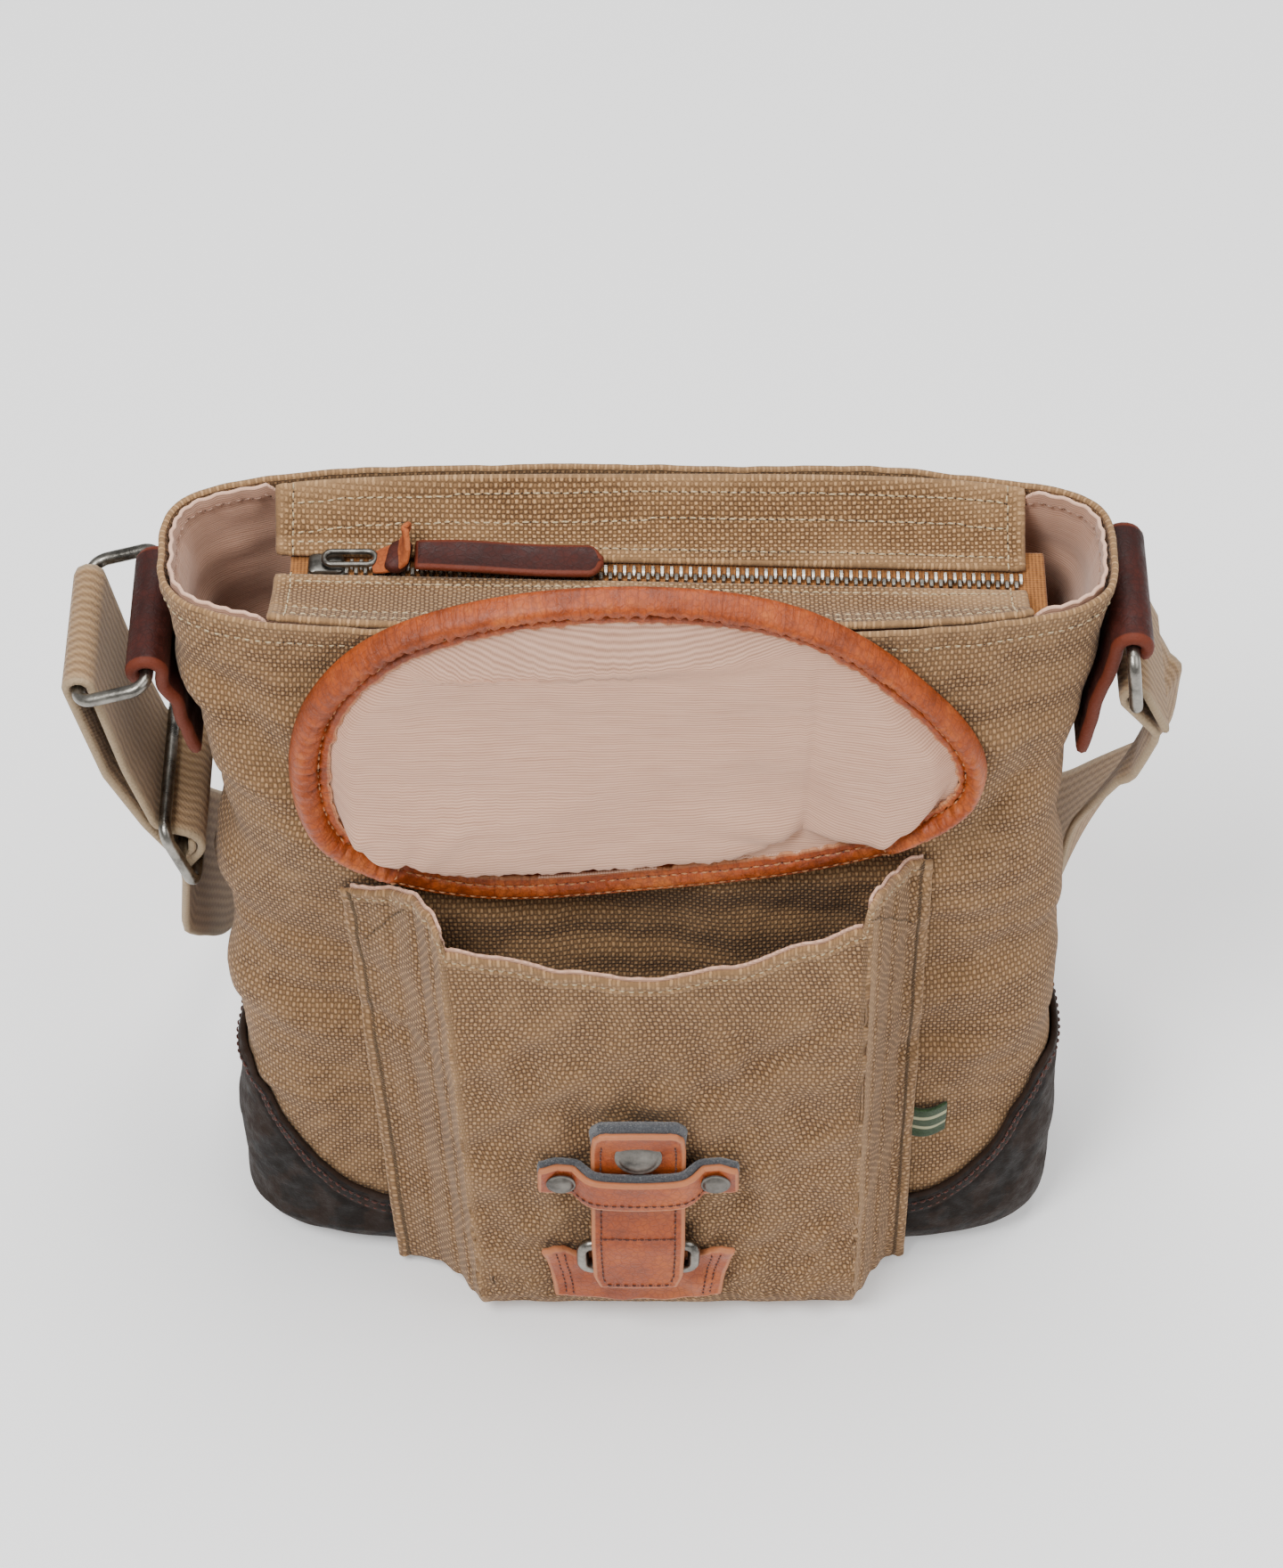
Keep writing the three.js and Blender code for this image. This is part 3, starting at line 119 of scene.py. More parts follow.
# Folds: face, place along it as a share of the half width, level, slope in degrees,
# then length and breadth in mouth widths and depth in base depths
FOLDS = [
    ("front", -0.86, 0.85, -58, 0.13, 0.035, -0.055),
    ("front", -0.84, 0.74, -38, 0.12, 0.04, 0.04),
    ("front", 0.9, 0.8, 66, 0.14, 0.035, -0.045),
    ("front", 0.84, 0.7, 40, 0.13, 0.04, 0.035),
    ("front", -0.8, 0.56, -22, 0.12, 0.035, -0.03),
    ("front", 0.82, 0.52, 18, 0.12, 0.035, -0.028),
    ("front", -0.84, 0.4, -30, 0.13, 0.035, 0.03),
    ("front", 0.84, 0.38, 24, 0.12, 0.04, 0.03),
    ("back", -0.45, 0.66, 20, 0.24, 0.06, -0.045),
    ("back", 0.5, 0.58, -26, 0.24, 0.06, -0.045),
    ("back", 0.0, 0.4, 6, 0.3, 0.07, 0.035),
    ("left", 0.0, 0.68, 4, 0.16, 0.04, -0.05),
    ("right", 0.0, 0.66, -4, 0.16, 0.04, -0.045),
    ("left", 0.1, 0.5, 84, 0.16, 0.05, -0.05),
    ("right", 0.1, 0.48, 96, 0.16, 0.05, -0.045),
]
# The flap's outline, a wide half moon: shares of its half width and half height, from its right side up
FLAP_OUTLINE = [
    (0.977, -0.4),
    (0.987, -0.09),
    (0.772, 0.457),
    (0.482, 0.849),
    (0.114, 1.01),
    (-0.366, 0.985),
    (-0.721, 0.775),
    (-0.923, 0.423),
    (-1.009, -0.033),
    (-0.971, -0.539),
    (-0.803, -0.807),
    (-0.498, -0.982),
    (0.004, -0.957),
    (0.51, -0.844),
    (0.804, -0.67),
]
# The webbing's free route from the left ring round to the right one: x in half mouth widths, y in base
# depths, z in heights, then the direction of its width
STRAP_ROUTE = [
    (-1.0, 0.06, 0.49, (0.1, 0.98, 0.12)),
    (-0.985, 0.32, 0.38, (0.16, 0.84, 0.5)),
    (-0.96, 0.75, 0.22, (0.16, 0.52, 0.84)),
    (-0.9, 1.35, 0.11, (0.12, 0.16, 0.98)),
    (-0.72, 2.05, 0.085, (0.03, -0.02, 1)),
    (-0.38, 2.5, 0.082, (0, 0, 1)),
    (0.0, 2.62, 0.082, (0, 0, 1)),
    (0.38, 2.5, 0.082, (0, 0, 1)),
    (0.74, 2.05, 0.085, (-0.03, -0.02, 1)),
    (0.93, 1.35, 0.115, (-0.1, 0.16, 0.98)),
    (0.99, 0.75, 0.25, (0.04, 0.55, 0.83)),
    (1.03, 0.36, 0.44, (0.3, 0.86, 0.1)),
    (1.09, 0.14, 0.61, (0.5, 0.8, -0.3)),
    (1.125, 0.03, 0.73, (0.34, 0.9, -0.26)),
]
# The side tabs' rolls, as shares of the height, and the way each ring hangs: left is -1 and right is 1
TAB_ROLL_LEVEL = {-1: 0.9, 1: 0.935}
RING_LEAN = {-1: (-0.95, 0, -0.31), 1: (0.12, 0, -0.99)}


# Small maths

def vec(*parts):
    return np.array(parts, float)


def unit(v):
    length = np.linalg.norm(v, axis=-1, keepdims=True)
    return v / np.maximum(length, 1e-9)


def mix(a, b, t):
    return a + (b - a) * t


def clamp(t, low=0.0, high=1.0):
    return np.clip(t, low, high)


def squared(wave, power):
    return np.sign(wave) * np.abs(wave) ** power


def bell(t, width):
    return np.exp(-(t / width) ** 2)


def smooth(t):
    t = clamp(t)
    return t * t * (3 - 2 * t)


def column(rows, name, level):
    levels, values = rows["level"], rows[name]
    row = clamp(np.searchsorted(levels, level) - 1, 0, len(levels) - 2).astype(int)
    share = (level - levels[row]) / (levels[row + 1] - levels[row])
    return mix(values[row], values[row + 1], smooth(share))


class Waves:
    """A smooth random field over a plane: a sum of sines with wavelengths around a given size."""

    def __init__(self, seed, size, count=14, stretch=1.0):
        draw = np.random.default_rng(seed)
        angle = draw.uniform(0, math.pi, count)
        wave = 2 * math.pi / (size * draw.uniform(0.6, 1.7, count))
        self.fx, self.fy = wave * np.cos(angle) / stretch, wave * np.sin(angle)
        self.phase = draw.uniform(0, 2 * math.pi, count)
        self.size = math.sqrt(2 / count)

    def __call__(self, x, y):
        x, y = np.broadcast_arrays(np.asarray(x, float), np.asarray(y, float))
        angle = x[..., None] * self.fx + y[..., None] * self.fy + self.phase
        return np.sin(angle).sum(-1) * self.size


def normals_of(grid, around=False):
    if around:
        wide = np.concatenate([grid[:, -1:], grid, grid[:, :1]], axis=1)
        across = (wide[:, 2:] - wide[:, :-2])
    else:
        across = np.gradient(grid, axis=1)
    along = np.gradient(grid, axis=0)
    return unit(np.cross(across, along))


def resampled(path, step):
    """A path of points at even steps; more columns than three are carried along."""
    path = np.asarray(path, float)
    lengths = np.concatenate([[0], np.cumsum(np.linalg.norm(np.diff(path[:, :3], axis=0), axis=1))])
    count = max(2, int(round(lengths[-1] / step)) + 1)
    even = np.linspace(0, lengths[-1], count)
    return np.stack([np.interp(even, lengths, path[:, k]) for k in range(path.shape[1])], axis=1)


def spline(p0, p1, p2, p3, w):
    """A centripetal curve from p1 to p2, as in the part's source."""
    d0, d1, d2 = (max(np.linalg.norm(b - a) ** 0.5, 1e-4) for a, b in ((p0, p1), (p1, p2), (p2, p3)))
    t1 = ((p1 - p0) / d0 - (p2 - p0) / (d0 + d1) + (p2 - p1) / d1) * d1
    t2 = ((p2 - p1) / d1 - (p3 - p1) / (d1 + d2) + (p3 - p2) / d2) * d1
    return p1 + w * (t1 + w * (3 * (p2 - p1) - 2 * t1 - t2 + w * (2 * (p1 - p2) + t1 + t2)))


def catmull(points, count):
    points = np.asarray(points, float)
    last = len(points) - 1
    padded = np.vstack([2 * points[0] - points[1], points, 2 * points[-1] - points[-2]])
    places = np.linspace(0, 1, count) * last
    starts = np.minimum(places.astype(int), last - 1)
    return np.array([spline(*padded[k:k + 4], place - k) for place, k in zip(places, starts)])


def closed_curve(points, count):
    points = np.asarray(points, float)
    n = len(points)
    dense = [spline(*(points[(k + j) % n] for j in (-1, 0, 1, 2)), w)
             for k in range(n) for w in np.linspace(0, 1, 60, endpoint=False)]
    dense = np.array(dense + dense[:1])
    lengths = np.concatenate([[0], np.cumsum(np.linalg.norm(np.diff(dense, axis=0), axis=1))])
    even = np.linspace(0, lengths[-1], count, endpoint=False)
    return np.stack([np.interp(even, lengths, dense[:, k]) for k in range(dense.shape[1])], axis=1)


# Meshes

def mesh_object(name, points, faces, material, cloth=None, extra=(), face_material=None, sharp=38):
    """points in millimetres; cloth gives u, v in millimetres and wear for each face corner."""
    mesh = bpy.data.meshes.new(name)
    mesh.from_pydata((np.asarray(points) * MM).tolist(), [], [list(map(int, f)) for f in faces])
    mesh.update()
    if cloth is not None:
        layer = mesh.attributes.new("cloth", "FLOAT_VECTOR", "CORNER")
        layer.data.foreach_set("vector", np.asarray(cloth, np.float32).ravel())
    mesh.materials.append(material)
    for other in extra:
        mesh.materials.append(other)
    if face_material is not None:
        mesh.polygons.foreach_set("material_index", np.asarray(face_material, np.int32))
    mesh.shade_smooth()
    mesh.set_sharp_from_angle(angle=math.radians(sharp))
    made = bpy.data.objects.new(name, mesh)
    bpy.context.scene.collection.objects.link(made)
    return made


def grid_faces(rows, cols, around=False, start=0):
    r, c = np.meshgrid(np.arange(rows - 1), np.arange(cols if around else cols - 1), indexing="ij")
    r, c = r.ravel(), c.ravel()
    right = (c + 1) % cols
    here, above = r * cols, (r + 1) * cols
    return start + np.stack([here + c, here + right, above + right, above + c], axis=1)


def grid_cloth(rows, cols, u, v, wear, around=False):
    """Corner values for grid_faces; around a closed grid u runs on past its end."""
    r, c = np.meshgrid(np.arange(rows - 1), np.arange(cols if around else cols - 1), indexing="ij")
    r, c = r.ravel(), c.ravel()
    corners = []
    for dr, dc in ((0, 0), (0, 1), (1, 1), (1, 0)):
        row, col = r + dr, c + dc
        wrapped = col % cols
        turn = np.where(col >= cols, 1.0, 0.0)
        uu = u[row, wrapped]
        if around:
            step = u[row, cols - 1] - u[row, cols - 2]
            uu = np.where(turn > 0, u[row, cols - 1] + step, uu)
        corners.append(np.stack([uu, v[row, wrapped], wear[row, wrapped]], axis=1))
    return np.stack(corners, axis=1)


def lengths_along(grid, axis):
    step = np.linalg.norm(np.diff(grid, axis=axis), axis=-1)
    zero = np.zeros_like(np.take(step, [0], axis=axis))
    return np.concatenate([zero, np.cumsum(step, axis=axis)], axis=axis)


def slab(name, grid, thickness, material, around=False, floor=False, wear=None, u=None, v=None,
         face=1.0):
    """A sheet with rounded edges from its middle surface, grid[rows, columns, 3].
    thickness may vary over the grid. face 1 puts the normals on the outer side."""
    rows, cols = grid.shape[:2]
    half = np.broadcast_to(np.asarray(thickness, float) / 2, (rows, cols))[..., None]
    normal = normals_of(grid, around) * face
    u = lengths_along(grid, 1) if u is None else u
    v = lengths_along(grid, 0) if v is None else v
    wear = np.zeros((rows, cols)) if wear is None else wear
    front, back = grid + normal * half, grid - normal * half
    points = [front.reshape(-1, 3), back.reshape(-1, 3)]
    count = rows * cols
    faces = [grid_faces(rows, cols, around), grid_faces(rows, cols, around, count)[:, ::-1]]
    cloth = [grid_cloth(rows, cols, u, v, wear, around), grid_cloth(rows, cols, u, v, wear, around)[:, ::-1]]
    index = np.arange(count).reshape(rows, cols)
    total = 2 * count
    loops = []
    if around:
        if not floor:
            loops.append((index[0], unit(grid[0] - grid[1])))
        loops.append((index[-1], unit(grid[-1] - grid[-2])))
    else:
        out_left, out_right = unit(grid[:, 0] - grid[:, 1]), unit(grid[:, -1] - grid[:, -2])
        out_low, out_high = unit(grid[0] - grid[1]), unit(grid[-1] - grid[-2])
        ids = np.concatenate([index[0, :], index[1:, -1], index[-1, -2::-1], index[-2:0:-1, 0]])
        outs = np.concatenate([out_low, out_right[1:], out_high[-2::-1], out_left[-2:0:-1]])
        outs[cols - 1] = unit(out_low[-1] + out_right[0])
        outs[cols + rows - 2] = unit(out_high[-1] + out_right[-1])
        outs[2 * cols + rows - 3] = unit(out_high[0] + out_left[-1])
        outs[0] = unit(out_low[0] + out_left[0])
        loops.append((ids, outs))
    middle, n_flat, h_flat = grid.reshape(-1, 3), normal.reshape(-1, 3), half.reshape(-1, 1)
    value = np.stack([u.ravel(), v.ravel(), wear.ravel()], axis=1)
    for ids, outs in loops:
        before = ids
        n = len(ids)
        for k in range(1, RIM_ROWS + 2):
            angle = math.pi * k / (RIM_ROWS + 1)
            if k <= RIM_ROWS:
                ring = middle[ids] + n_flat[ids] * h_flat[ids] * math.cos(angle) \
                    + outs * h_flat[ids] * math.sin(angle)
                points.append(ring)
                after = total + np.arange(n)
                total += n
            else:
                after = ids + count
            nxt = (np.arange(n) + 1) % n
            faces.append(np.stack([before, after, after[nxt], before[nxt]], axis=1))
            edge = value[ids].copy()
            edge[:, 2] = np.maximum(edge[:, 2], EDGE_WEAR)
            shift = edge[nxt].copy()
            jump = np.abs(shift[:, 0] - edge[:, 0]) > SEAM_JUMP
            shift[jump, 0] = edge[jump, 0] + 0.5
            cloth.append(np.stack([edge, edge, shift, shift], axis=1))
            before = after
    if floor:
        for side, ring in ((0, front[0]), (1, back[0])):
            points.append(ring.mean(0, keepdims=True))
            first = side * count + np.arange(cols)
            nxt = side * count + (np.arange(cols) + 1) % cols
            fan = np.stack([np.full(cols, total), nxt, first], axis=1)
            total += 1
            faces.append(fan if side == 0 else fan[:, ::-1])
            cloth.append(np.stack([value[:cols]] * 3, axis=1))
    flipped = np.dot(np.cross(front[0, 1] - front[0, 0], front[1, 0] - front[0, 0]), normal[0, 0]) < 0
    all_faces = [f[::-1] if flipped else f for group in faces for f in group.tolist()]
    all_cloth = np.concatenate([(c[:, ::-1] if flipped else c).reshape(-1, 3) for c in cloth])
    return mesh_object(name, np.concatenate(points), all_faces, material, all_cloth, sharp=50)


def swept(name, sections, material, loop=False, sharp=50):
    """A closed solid through sections[rows, count, 3]."""
    rows, count = sections.shape[:2]
    faces = grid_faces(rows + (1 if loop else 0), count, True)
    faces = (faces % (rows * count)).tolist()
    if not loop:
        faces.append(list(range(count))[::-1])
        faces.append(list(range((rows - 1) * count, rows * count)))
    points = sections.reshape(-1, 3)
    order = np.array([p for f in faces for p in f])
    along = lengths_along(sections, 0).ravel()
    turn = lengths_along(sections, 1).ravel()
    cloth = np.stack([turn[order], along[order], np.zeros(len(order))], axis=1)
    return mesh_object(name, points, faces, material, cloth, sharp=sharp)


def wire_sections(path, radius, plane, loop, sides=14):
    path = np.asarray(path, float)
    plane = unit(np.asarray(plane, float))
    ahead, behind = np.roll(path, -1, axis=0), np.roll(path, 1, axis=0)
    if not loop:
        ahead[-1], behind[0] = path[-1], path[0]
    side = unit(np.cross(ahead - behind, plane))
    angle = np.linspace(0, 2 * math.pi, sides, endpoint=False)
    radius = np.broadcast_to(np.asarray(radius, float), (len(path),))[:, None, None]
    return path[:, None] + radius * (side[:, None] * np.cos(angle)[None, :, None]
                                     + plane * np.sin(angle)[None, :, None])


def rounded_loop(middle, along_a, along_b, length_a, length_b, radius, per_corner=8, straight=6):
    corners = []
    for sign_a, sign_b, start in ((1, 1, 0), (-1, 1, 90), (-1, -1, 180), (1, -1, 270)):
        for angle in np.radians(start + np.linspace(0, 90, per_corner)):
            corners.append(np.asarray(middle)
                           + along_a * (sign_a * (length_a / 2 - radius) + radius * math.cos(angle))
                           + along_b * (sign_b * (length_b / 2 - radius) + radius * math.sin(angle)))
    corners.append(corners[0])
    return resampled(np.array(corners), (length_a + length_b) / (8 * straight))[:-1]


def joined(name, objects):
    """One object of several, each keeping its own materials."""
    points, faces, kinds, cloth, materials = [], [], [], [], []
    start = 0
    for item in objects:
        mesh = item.data
        co = np.empty(len(mesh.vertices) * 3)
        mesh.vertices.foreach_get("co", co)
        points.append(co.reshape(-1, 3) / MM)
        own = {}
        for i, m in enumerate(mesh.materials):
            if m not in materials:
                materials.append(m)
            own[i] = materials.index(m)
        for polygon in mesh.polygons:
            faces.append([start + p for p in polygon.vertices])
            kinds.append(own[polygon.material_index])
        corner = np.zeros(len(mesh.loops) * 3, np.float32)
        if "cloth" in mesh.attributes:
            mesh.attributes["cloth"].data.foreach_get("vector", corner)
        cloth.append(corner.reshape(-1, 3))
        start += len(mesh.vertices)
        bpy.data.objects.remove(item)
    return mesh_object(name, np.concatenate(points), faces, materials[0], np.concatenate(cloth),
                       materials[1:], kinds)


# A stitch: its thickness from end to end, its sides, the spread of its place, turn and length, and the
# sides of the dark disc after it, painted shade that stands for the needle hole
STITCH_SHAPE = (0.25, 0.75, 0.98, 1.0, 0.98, 0.75, 0.25)
STITCH_SIDES = 6
STITCH_JITTER = 0.06
HOLE_SHADE_SIDES = 8


def stitches(name, path, normals, material, pitch, length, radius, hole_shade, sink=0.2, turn=0.0):
    """A row of thread stitches along a path on a surface, each a short bent capsule between two holes; each
    hole is a dark disc of painted shade.
    """
    path, normals = np.asarray(path, float), np.asarray(normals, float)
    if normals.ndim == 1:
        normals = np.repeat(normals[None], len(path), axis=0)
    both = resampled(np.hstack([path, normals]), pitch)
    where, up = both[:, :3], unit(both[:, 3:6])
    run = unit(np.gradient(where, axis=0))
    side = unit(np.cross(up, run))
    run = unit(np.cross(side, up))
    if turn:
        run = unit(run * math.cos(turn) + side * math.sin(turn))
        side = np.cross(up, run)
    share = np.linspace(-1, 1, len(STITCH_SHAPE))
    thick = radius * np.array(STITCH_SHAPE)
    rise = radius * (0.7 - 0.9 * np.abs(share) ** 3) - sink * np.abs(share) ** 4
    angle = np.linspace(0, 2 * math.pi, STITCH_SIDES, endpoint=False)
    count = len(where)
    jitter = rng.normal(0, 1, (count, 3)) * STITCH_JITTER
    centre = where + side * jitter[:, :1]
    axis = unit(run + side * jitter[:, 1:2])
    reach = length / 2 * (1 + jitter[:, 2])
    along = centre[:, None] + axis[:, None] * (share[None] * reach[:, None])[..., None] \
        + up[:, None] * rise[None, :, None]
    round_it = side[:, None, None] * np.cos(angle)[None, None, :, None] \
        + up[:, None, None] * np.sin(angle)[None, None, :, None]
    points = [(along[:, :, None] + thick[None, :, None, None] * round_it).reshape(-1, 3)]
    each = len(STITCH_SHAPE) * STITCH_SIDES
    starts = each * np.arange(count)[:, None, None]
    faces = (starts + grid_faces(len(STITCH_SHAPE), STITCH_SIDES, True)[None]).reshape(-1, 4).tolist()
    caps = np.array([list(range(STITCH_SIDES))[::-1], list(range(each - STITCH_SIDES, each))])
    faces += (starts + caps[None]).reshape(-1, STITCH_SIDES).tolist()
    kinds = [0] * len(faces)
    # Each needle hole is a flat dark disc just above the surface: painted shade, not a real hole.
    if hole_shade:
        spin = np.linspace(0, 2 * math.pi, HOLE_SHADE_SIDES, endpoint=False)
        spot = centre + axis * (pitch / 2)
        shade_disc = spot[:, None] + up[:, None] * 0.07 + radius * 0.85 * (
            axis[:, None] * np.cos(spin)[None, :, None] * 1.1 + side[:, None] * np.sin(spin)[None, :, None])
        points.append(np.concatenate([shade_disc, (spot + up * 0.12)[:, None]], axis=1).reshape(-1, 3))
        fans = np.array([[q, (q + 1) % HOLE_SHADE_SIDES, HOLE_SHADE_SIDES] for q in range(HOLE_SHADE_SIDES)])
        first = each * count + (HOLE_SHADE_SIDES + 1) * np.arange(count)[:, None, None]
        shade_spots = (first + fans[None]).reshape(-1, 3).tolist()
        faces += shade_spots
        kinds += [1] * len(shade_spots)
    return mesh_object(name, np.concatenate(points), faces, material, extra=(hole_shade,) if hole_shade else (),
                       face_material=kinds)


def row_piece(name, rows):
    """Rows of stitches as one piece; a row is its path, the surface's normals and its sewing."""
    made = [stitches(f"{name}_{k}", path, normals, **style) for k, (path, normals, style) in enumerate(rows)]
    place(made[0] if len(made) == 1 else joined(name, made))


def place(piece, slot=None, replaces=()):
    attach(piece, "root")
    if replaces:
        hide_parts(*([replaces] if isinstance(replaces, str) else replaces))
    return piece


# Materials

class Maker:
    """Builds one procedural material on a Principled shader."""

    def __init__(self, name, roughness=0.8, metallic=0.0, sheen=0.0, coat=0.0, specular=0.5):
        self.material = bpy.data.materials.new(name)
        self.material.use_nodes = True
        self.tree = self.material.node_tree
        self.shader = self.tree.nodes["Principled BSDF"]
        self.shader.inputs["Roughness"].default_value = roughness
        self.shader.inputs["Metallic"].default_value = metallic
        self.shader.inputs["Specular IOR Level"].default_value = specular
        if sheen:
            self.shader.inputs["Sheen Weight"].default_value = sheen
            self.shader.inputs["Sheen Roughness"].default_value = 0.5
        if coat:
            self.shader.inputs["Coat Weight"].default_value = coat
            self.shader.inputs["Coat Roughness"].default_value = 0.35
        self.height = None

    def node(self, kind, values=None, **settings):
        made = self.tree.nodes.new(kind)
        for key, value in settings.items():
            setattr(made, key, value)
        for key, value in (values or {}).items():
            self.feed(made.inputs[key], value)
        return made

    def feed(self, socket, value):
        if isinstance(value, bpy.types.NodeSocket):
            self.tree.links.new(value, socket)
        elif value is not None:
            socket.default_value = value

    def math(self, operation, a, b=None):
        made = self.tree.nodes.new("ShaderNodeMath")
        made.operation = operation
        for socket, value in zip(made.inputs, (a, b)):
            self.feed(socket, value)
        return made.outputs[0]

    def add(self, a, b):
        return self.math("ADD", a, b)

    def minus(self, a, b):
        return self.math("SUBTRACT", a, b)

    def times(self, a, b):
        return self.math("MULTIPLY", a, b)

    def wave(self, value, period):
        return self.math("COSINE", self.times(value, 2 * math.pi / period))

    def sway(self, value, reach):
        """A value from 0 to 1, moved to lie around zero and scaled."""
        return self.times(self.minus(value, 0.5), reach)

    def average(self, a, b, share=0.5):
        return self.add(self.times(a, 1 - share), self.times(b, share))

    def span(self, value, low, high, to_low=0.0, to_high=1.0):
        made = self.node("ShaderNodeMapRange", interpolation_type="SMOOTHSTEP")
        for socket, item in zip(made.inputs, (value, low, high, to_low, to_high)):
            self.feed(socket, item)
        return made.outputs[0]

    def cloth(self):
        source = self.node("ShaderNodeAttribute", attribute_name="cloth")
        parts = self.node("ShaderNodeSeparateXYZ", {0: source.outputs["Vector"]})
        return parts.outputs[0], parts.outputs[1], parts.outputs[2]

    def place(self):
        """The place on the object in millimetres."""
        source = self.node("ShaderNodeTexCoord").outputs["Object"]
        return self.node("ShaderNodeVectorMath", {0: source, 1: (1000, 1000, 1000)},
                         operation="MULTIPLY").outputs[0]

    def stretched(self, vector, x, y, z):
        return self.node("ShaderNodeVectorMath", {0: vector, 1: (x, y, z)}, operation="MULTIPLY").outputs[0]

    def pair(self, u, v, w=0.0):
        return self.node("ShaderNodeCombineXYZ", {0: u, 1: v, 2: w}).outputs[0]

    def noise(self, vector, scale, detail=3.0, roughness=0.55, distortion=0.0):
        return self.node("ShaderNodeTexNoise", {
            "Vector": vector, "Scale": scale, "Detail": detail, "Roughness": roughness,
            "Distortion": distortion}).outputs["Fac"]

    def cells(self, vector, scale, feature="DISTANCE_TO_EDGE"):
        return self.node("ShaderNodeTexVoronoi", {"Vector": vector, "Scale": scale},
                         feature=feature).outputs["Distance"]

    def blend(self, share, a, b, how="MIX"):
        made = self.node("ShaderNodeMix", data_type="RGBA", blend_type=how)
        self.feed(made.inputs[0], share)
        self.feed(made.inputs[6], a)
        self.feed(made.inputs[7], b)
        return made.outputs[2]

    def ramp(self, value, *stops):
        made = self.node("ShaderNodeValToRGB", {0: value})
        ramp = made.color_ramp
        while len(ramp.elements) < len(stops):
            ramp.elements.new(0.5)
        for element, (position, colour) in zip(ramp.elements, stops):
            element.position = position
            element.color = colour
        return made.outputs[0]

    def raise_by(self, height, millimetres):
        """Adds relief of a height in millimetres."""
        scaled = self.times(height, millimetres * MM)
        self.height = scaled if self.height is None else self.add(self.height, scaled)

    def finish(self, colour, roughness=None, strength=1.0):
        self.feed(self.shader.inputs["Base Color"], colour)
        self.feed(self.shader.inputs["Roughness"], roughness)
        if self.height is not None:
            bump = self.node("ShaderNodeBump", {"Height": self.height, "Strength": strength, "Distance": 1.0})
            self.tree.links.new(bump.outputs[0], self.shader.inputs["Normal"])
        return self.material


def rgb(hexcode):
    parts = [int(hexcode[i:i + 2], 16) / 255 for i in (0, 2, 4)]
    return tuple(p / 12.92 if p <= 0.04045 else ((p + 0.055) / 1.055) ** 2.4 for p in parts) + (1.0,)


# Noise scales are per millimetre of the object; the periods of waves and the reliefs are in millimetres
def canvas_material(name, dark, body, light, worn, pitch=(1.3, 1.75), relief=0.34, sheen=0.1):
    m = Maker(name, roughness=0.95, sheen=sheen, specular=0.2)
    u, v, wear = m.cloth()
    where = m.place()
    u = m.add(u, m.sway(m.noise(where, 0.05, 2), 2.2))
    v = m.add(v, m.sway(m.noise(where, 0.45, 3), 0.9))
    u = m.add(u, m.sway(m.noise(where, 0.7, 3), 0.8))
    warp = m.wave(u, 2 * pitch[0])
    weft = m.wave(v, 2 * pitch[1])
    cross = m.times(warp, weft)
    seed = m.span(cross, -0.15, 0.85)
    under = m.span(m.times(cross, -1), 0.1, 0.95, 0, 0.42)
    height = m.math("MAXIMUM", seed, under)
    slub = m.noise(m.pair(m.times(u, 0.3), m.times(v, 0.5)), 1.0, 4, 0.75)
    speck = m.noise(where, 1.5, 4, 0.8)
    cloud = m.noise(where, 0.012, 4, 0.55)
    patch = m.noise(where, 0.07, 5, 0.7)
    high = m.add(height, m.sway(slub, 0.7))
    high = m.add(high, m.sway(speck, 0.45))
    # Painted shade and highlight: the ramp over the relief darkens the hollows between seeds and lightens the
    # seeds, mixed with random slub and speck tone.
    colour = m.ramp(high, (0.0, dark), (0.5, body), (1.0, light))
    wash = m.add(m.times(wear, 0.85), m.times(m.span(patch, 0.44, 0.8), 0.3))
    wash = m.math("MINIMUM", wash, 0.95)
    colour = m.blend(m.times(wash, 0.6), colour, worn)
    tone = m.ramp(cloud, (0.3, (0.9, 0.88, 0.86, 1)), (0.5, (1, 1, 1, 1)), (0.72, (1.07, 1.05, 1.02, 1)))
    colour = m.blend(1.0, colour, tone, "MULTIPLY")
    shallow = m.minus(1.0, m.times(wash, 0.35))
    m.raise_by(m.times(height, shallow), relief)
    m.raise_by(m.noise(where, 2.4, 3), 0.16)
    return m.finish(colour)


def lining_material(name, low, base, high, pitch=0.82):
    m = Maker(name, roughness=0.9, sheen=0.2, specular=0.2)
    u, v, wear = m.cloth()
    where = m.place()
    v = m.add(v, m.times(m.noise(where, 0.06, 2), 0.7))
    line = m.wave(v, pitch)
    cross = m.wave(u, pitch * 0.75)
    height = m.add(m.times(line, 0.36), m.times(m.times(cross, line), 0.16))
    height = m.add(height, 0.5)
    slub = m.noise(m.pair(m.times(u, 0.05), m.times(v, 1.1)), 1.0, 4, 0.7)
    tone = m.average(height, slub)
    colour = m.ramp(tone, (0.2, low), (0.5, base), (0.8, high))
    colour = m.blend(m.times(wear, 0.35), colour, high)
    cloud = m.noise(where, 0.03, 4)
    shade = m.ramp(cloud, (0.3, (0.86, 0.83, 0.82, 1)), (0.7, (1.06, 1.03, 1.0, 1)))
    colour = m.blend(0.35, colour, shade, "MULTIPLY")
    m.raise_by(height, 0.07)
    m.raise_by(m.noise(where, 1.2, 3), 0.1)
    return m.finish(colour)


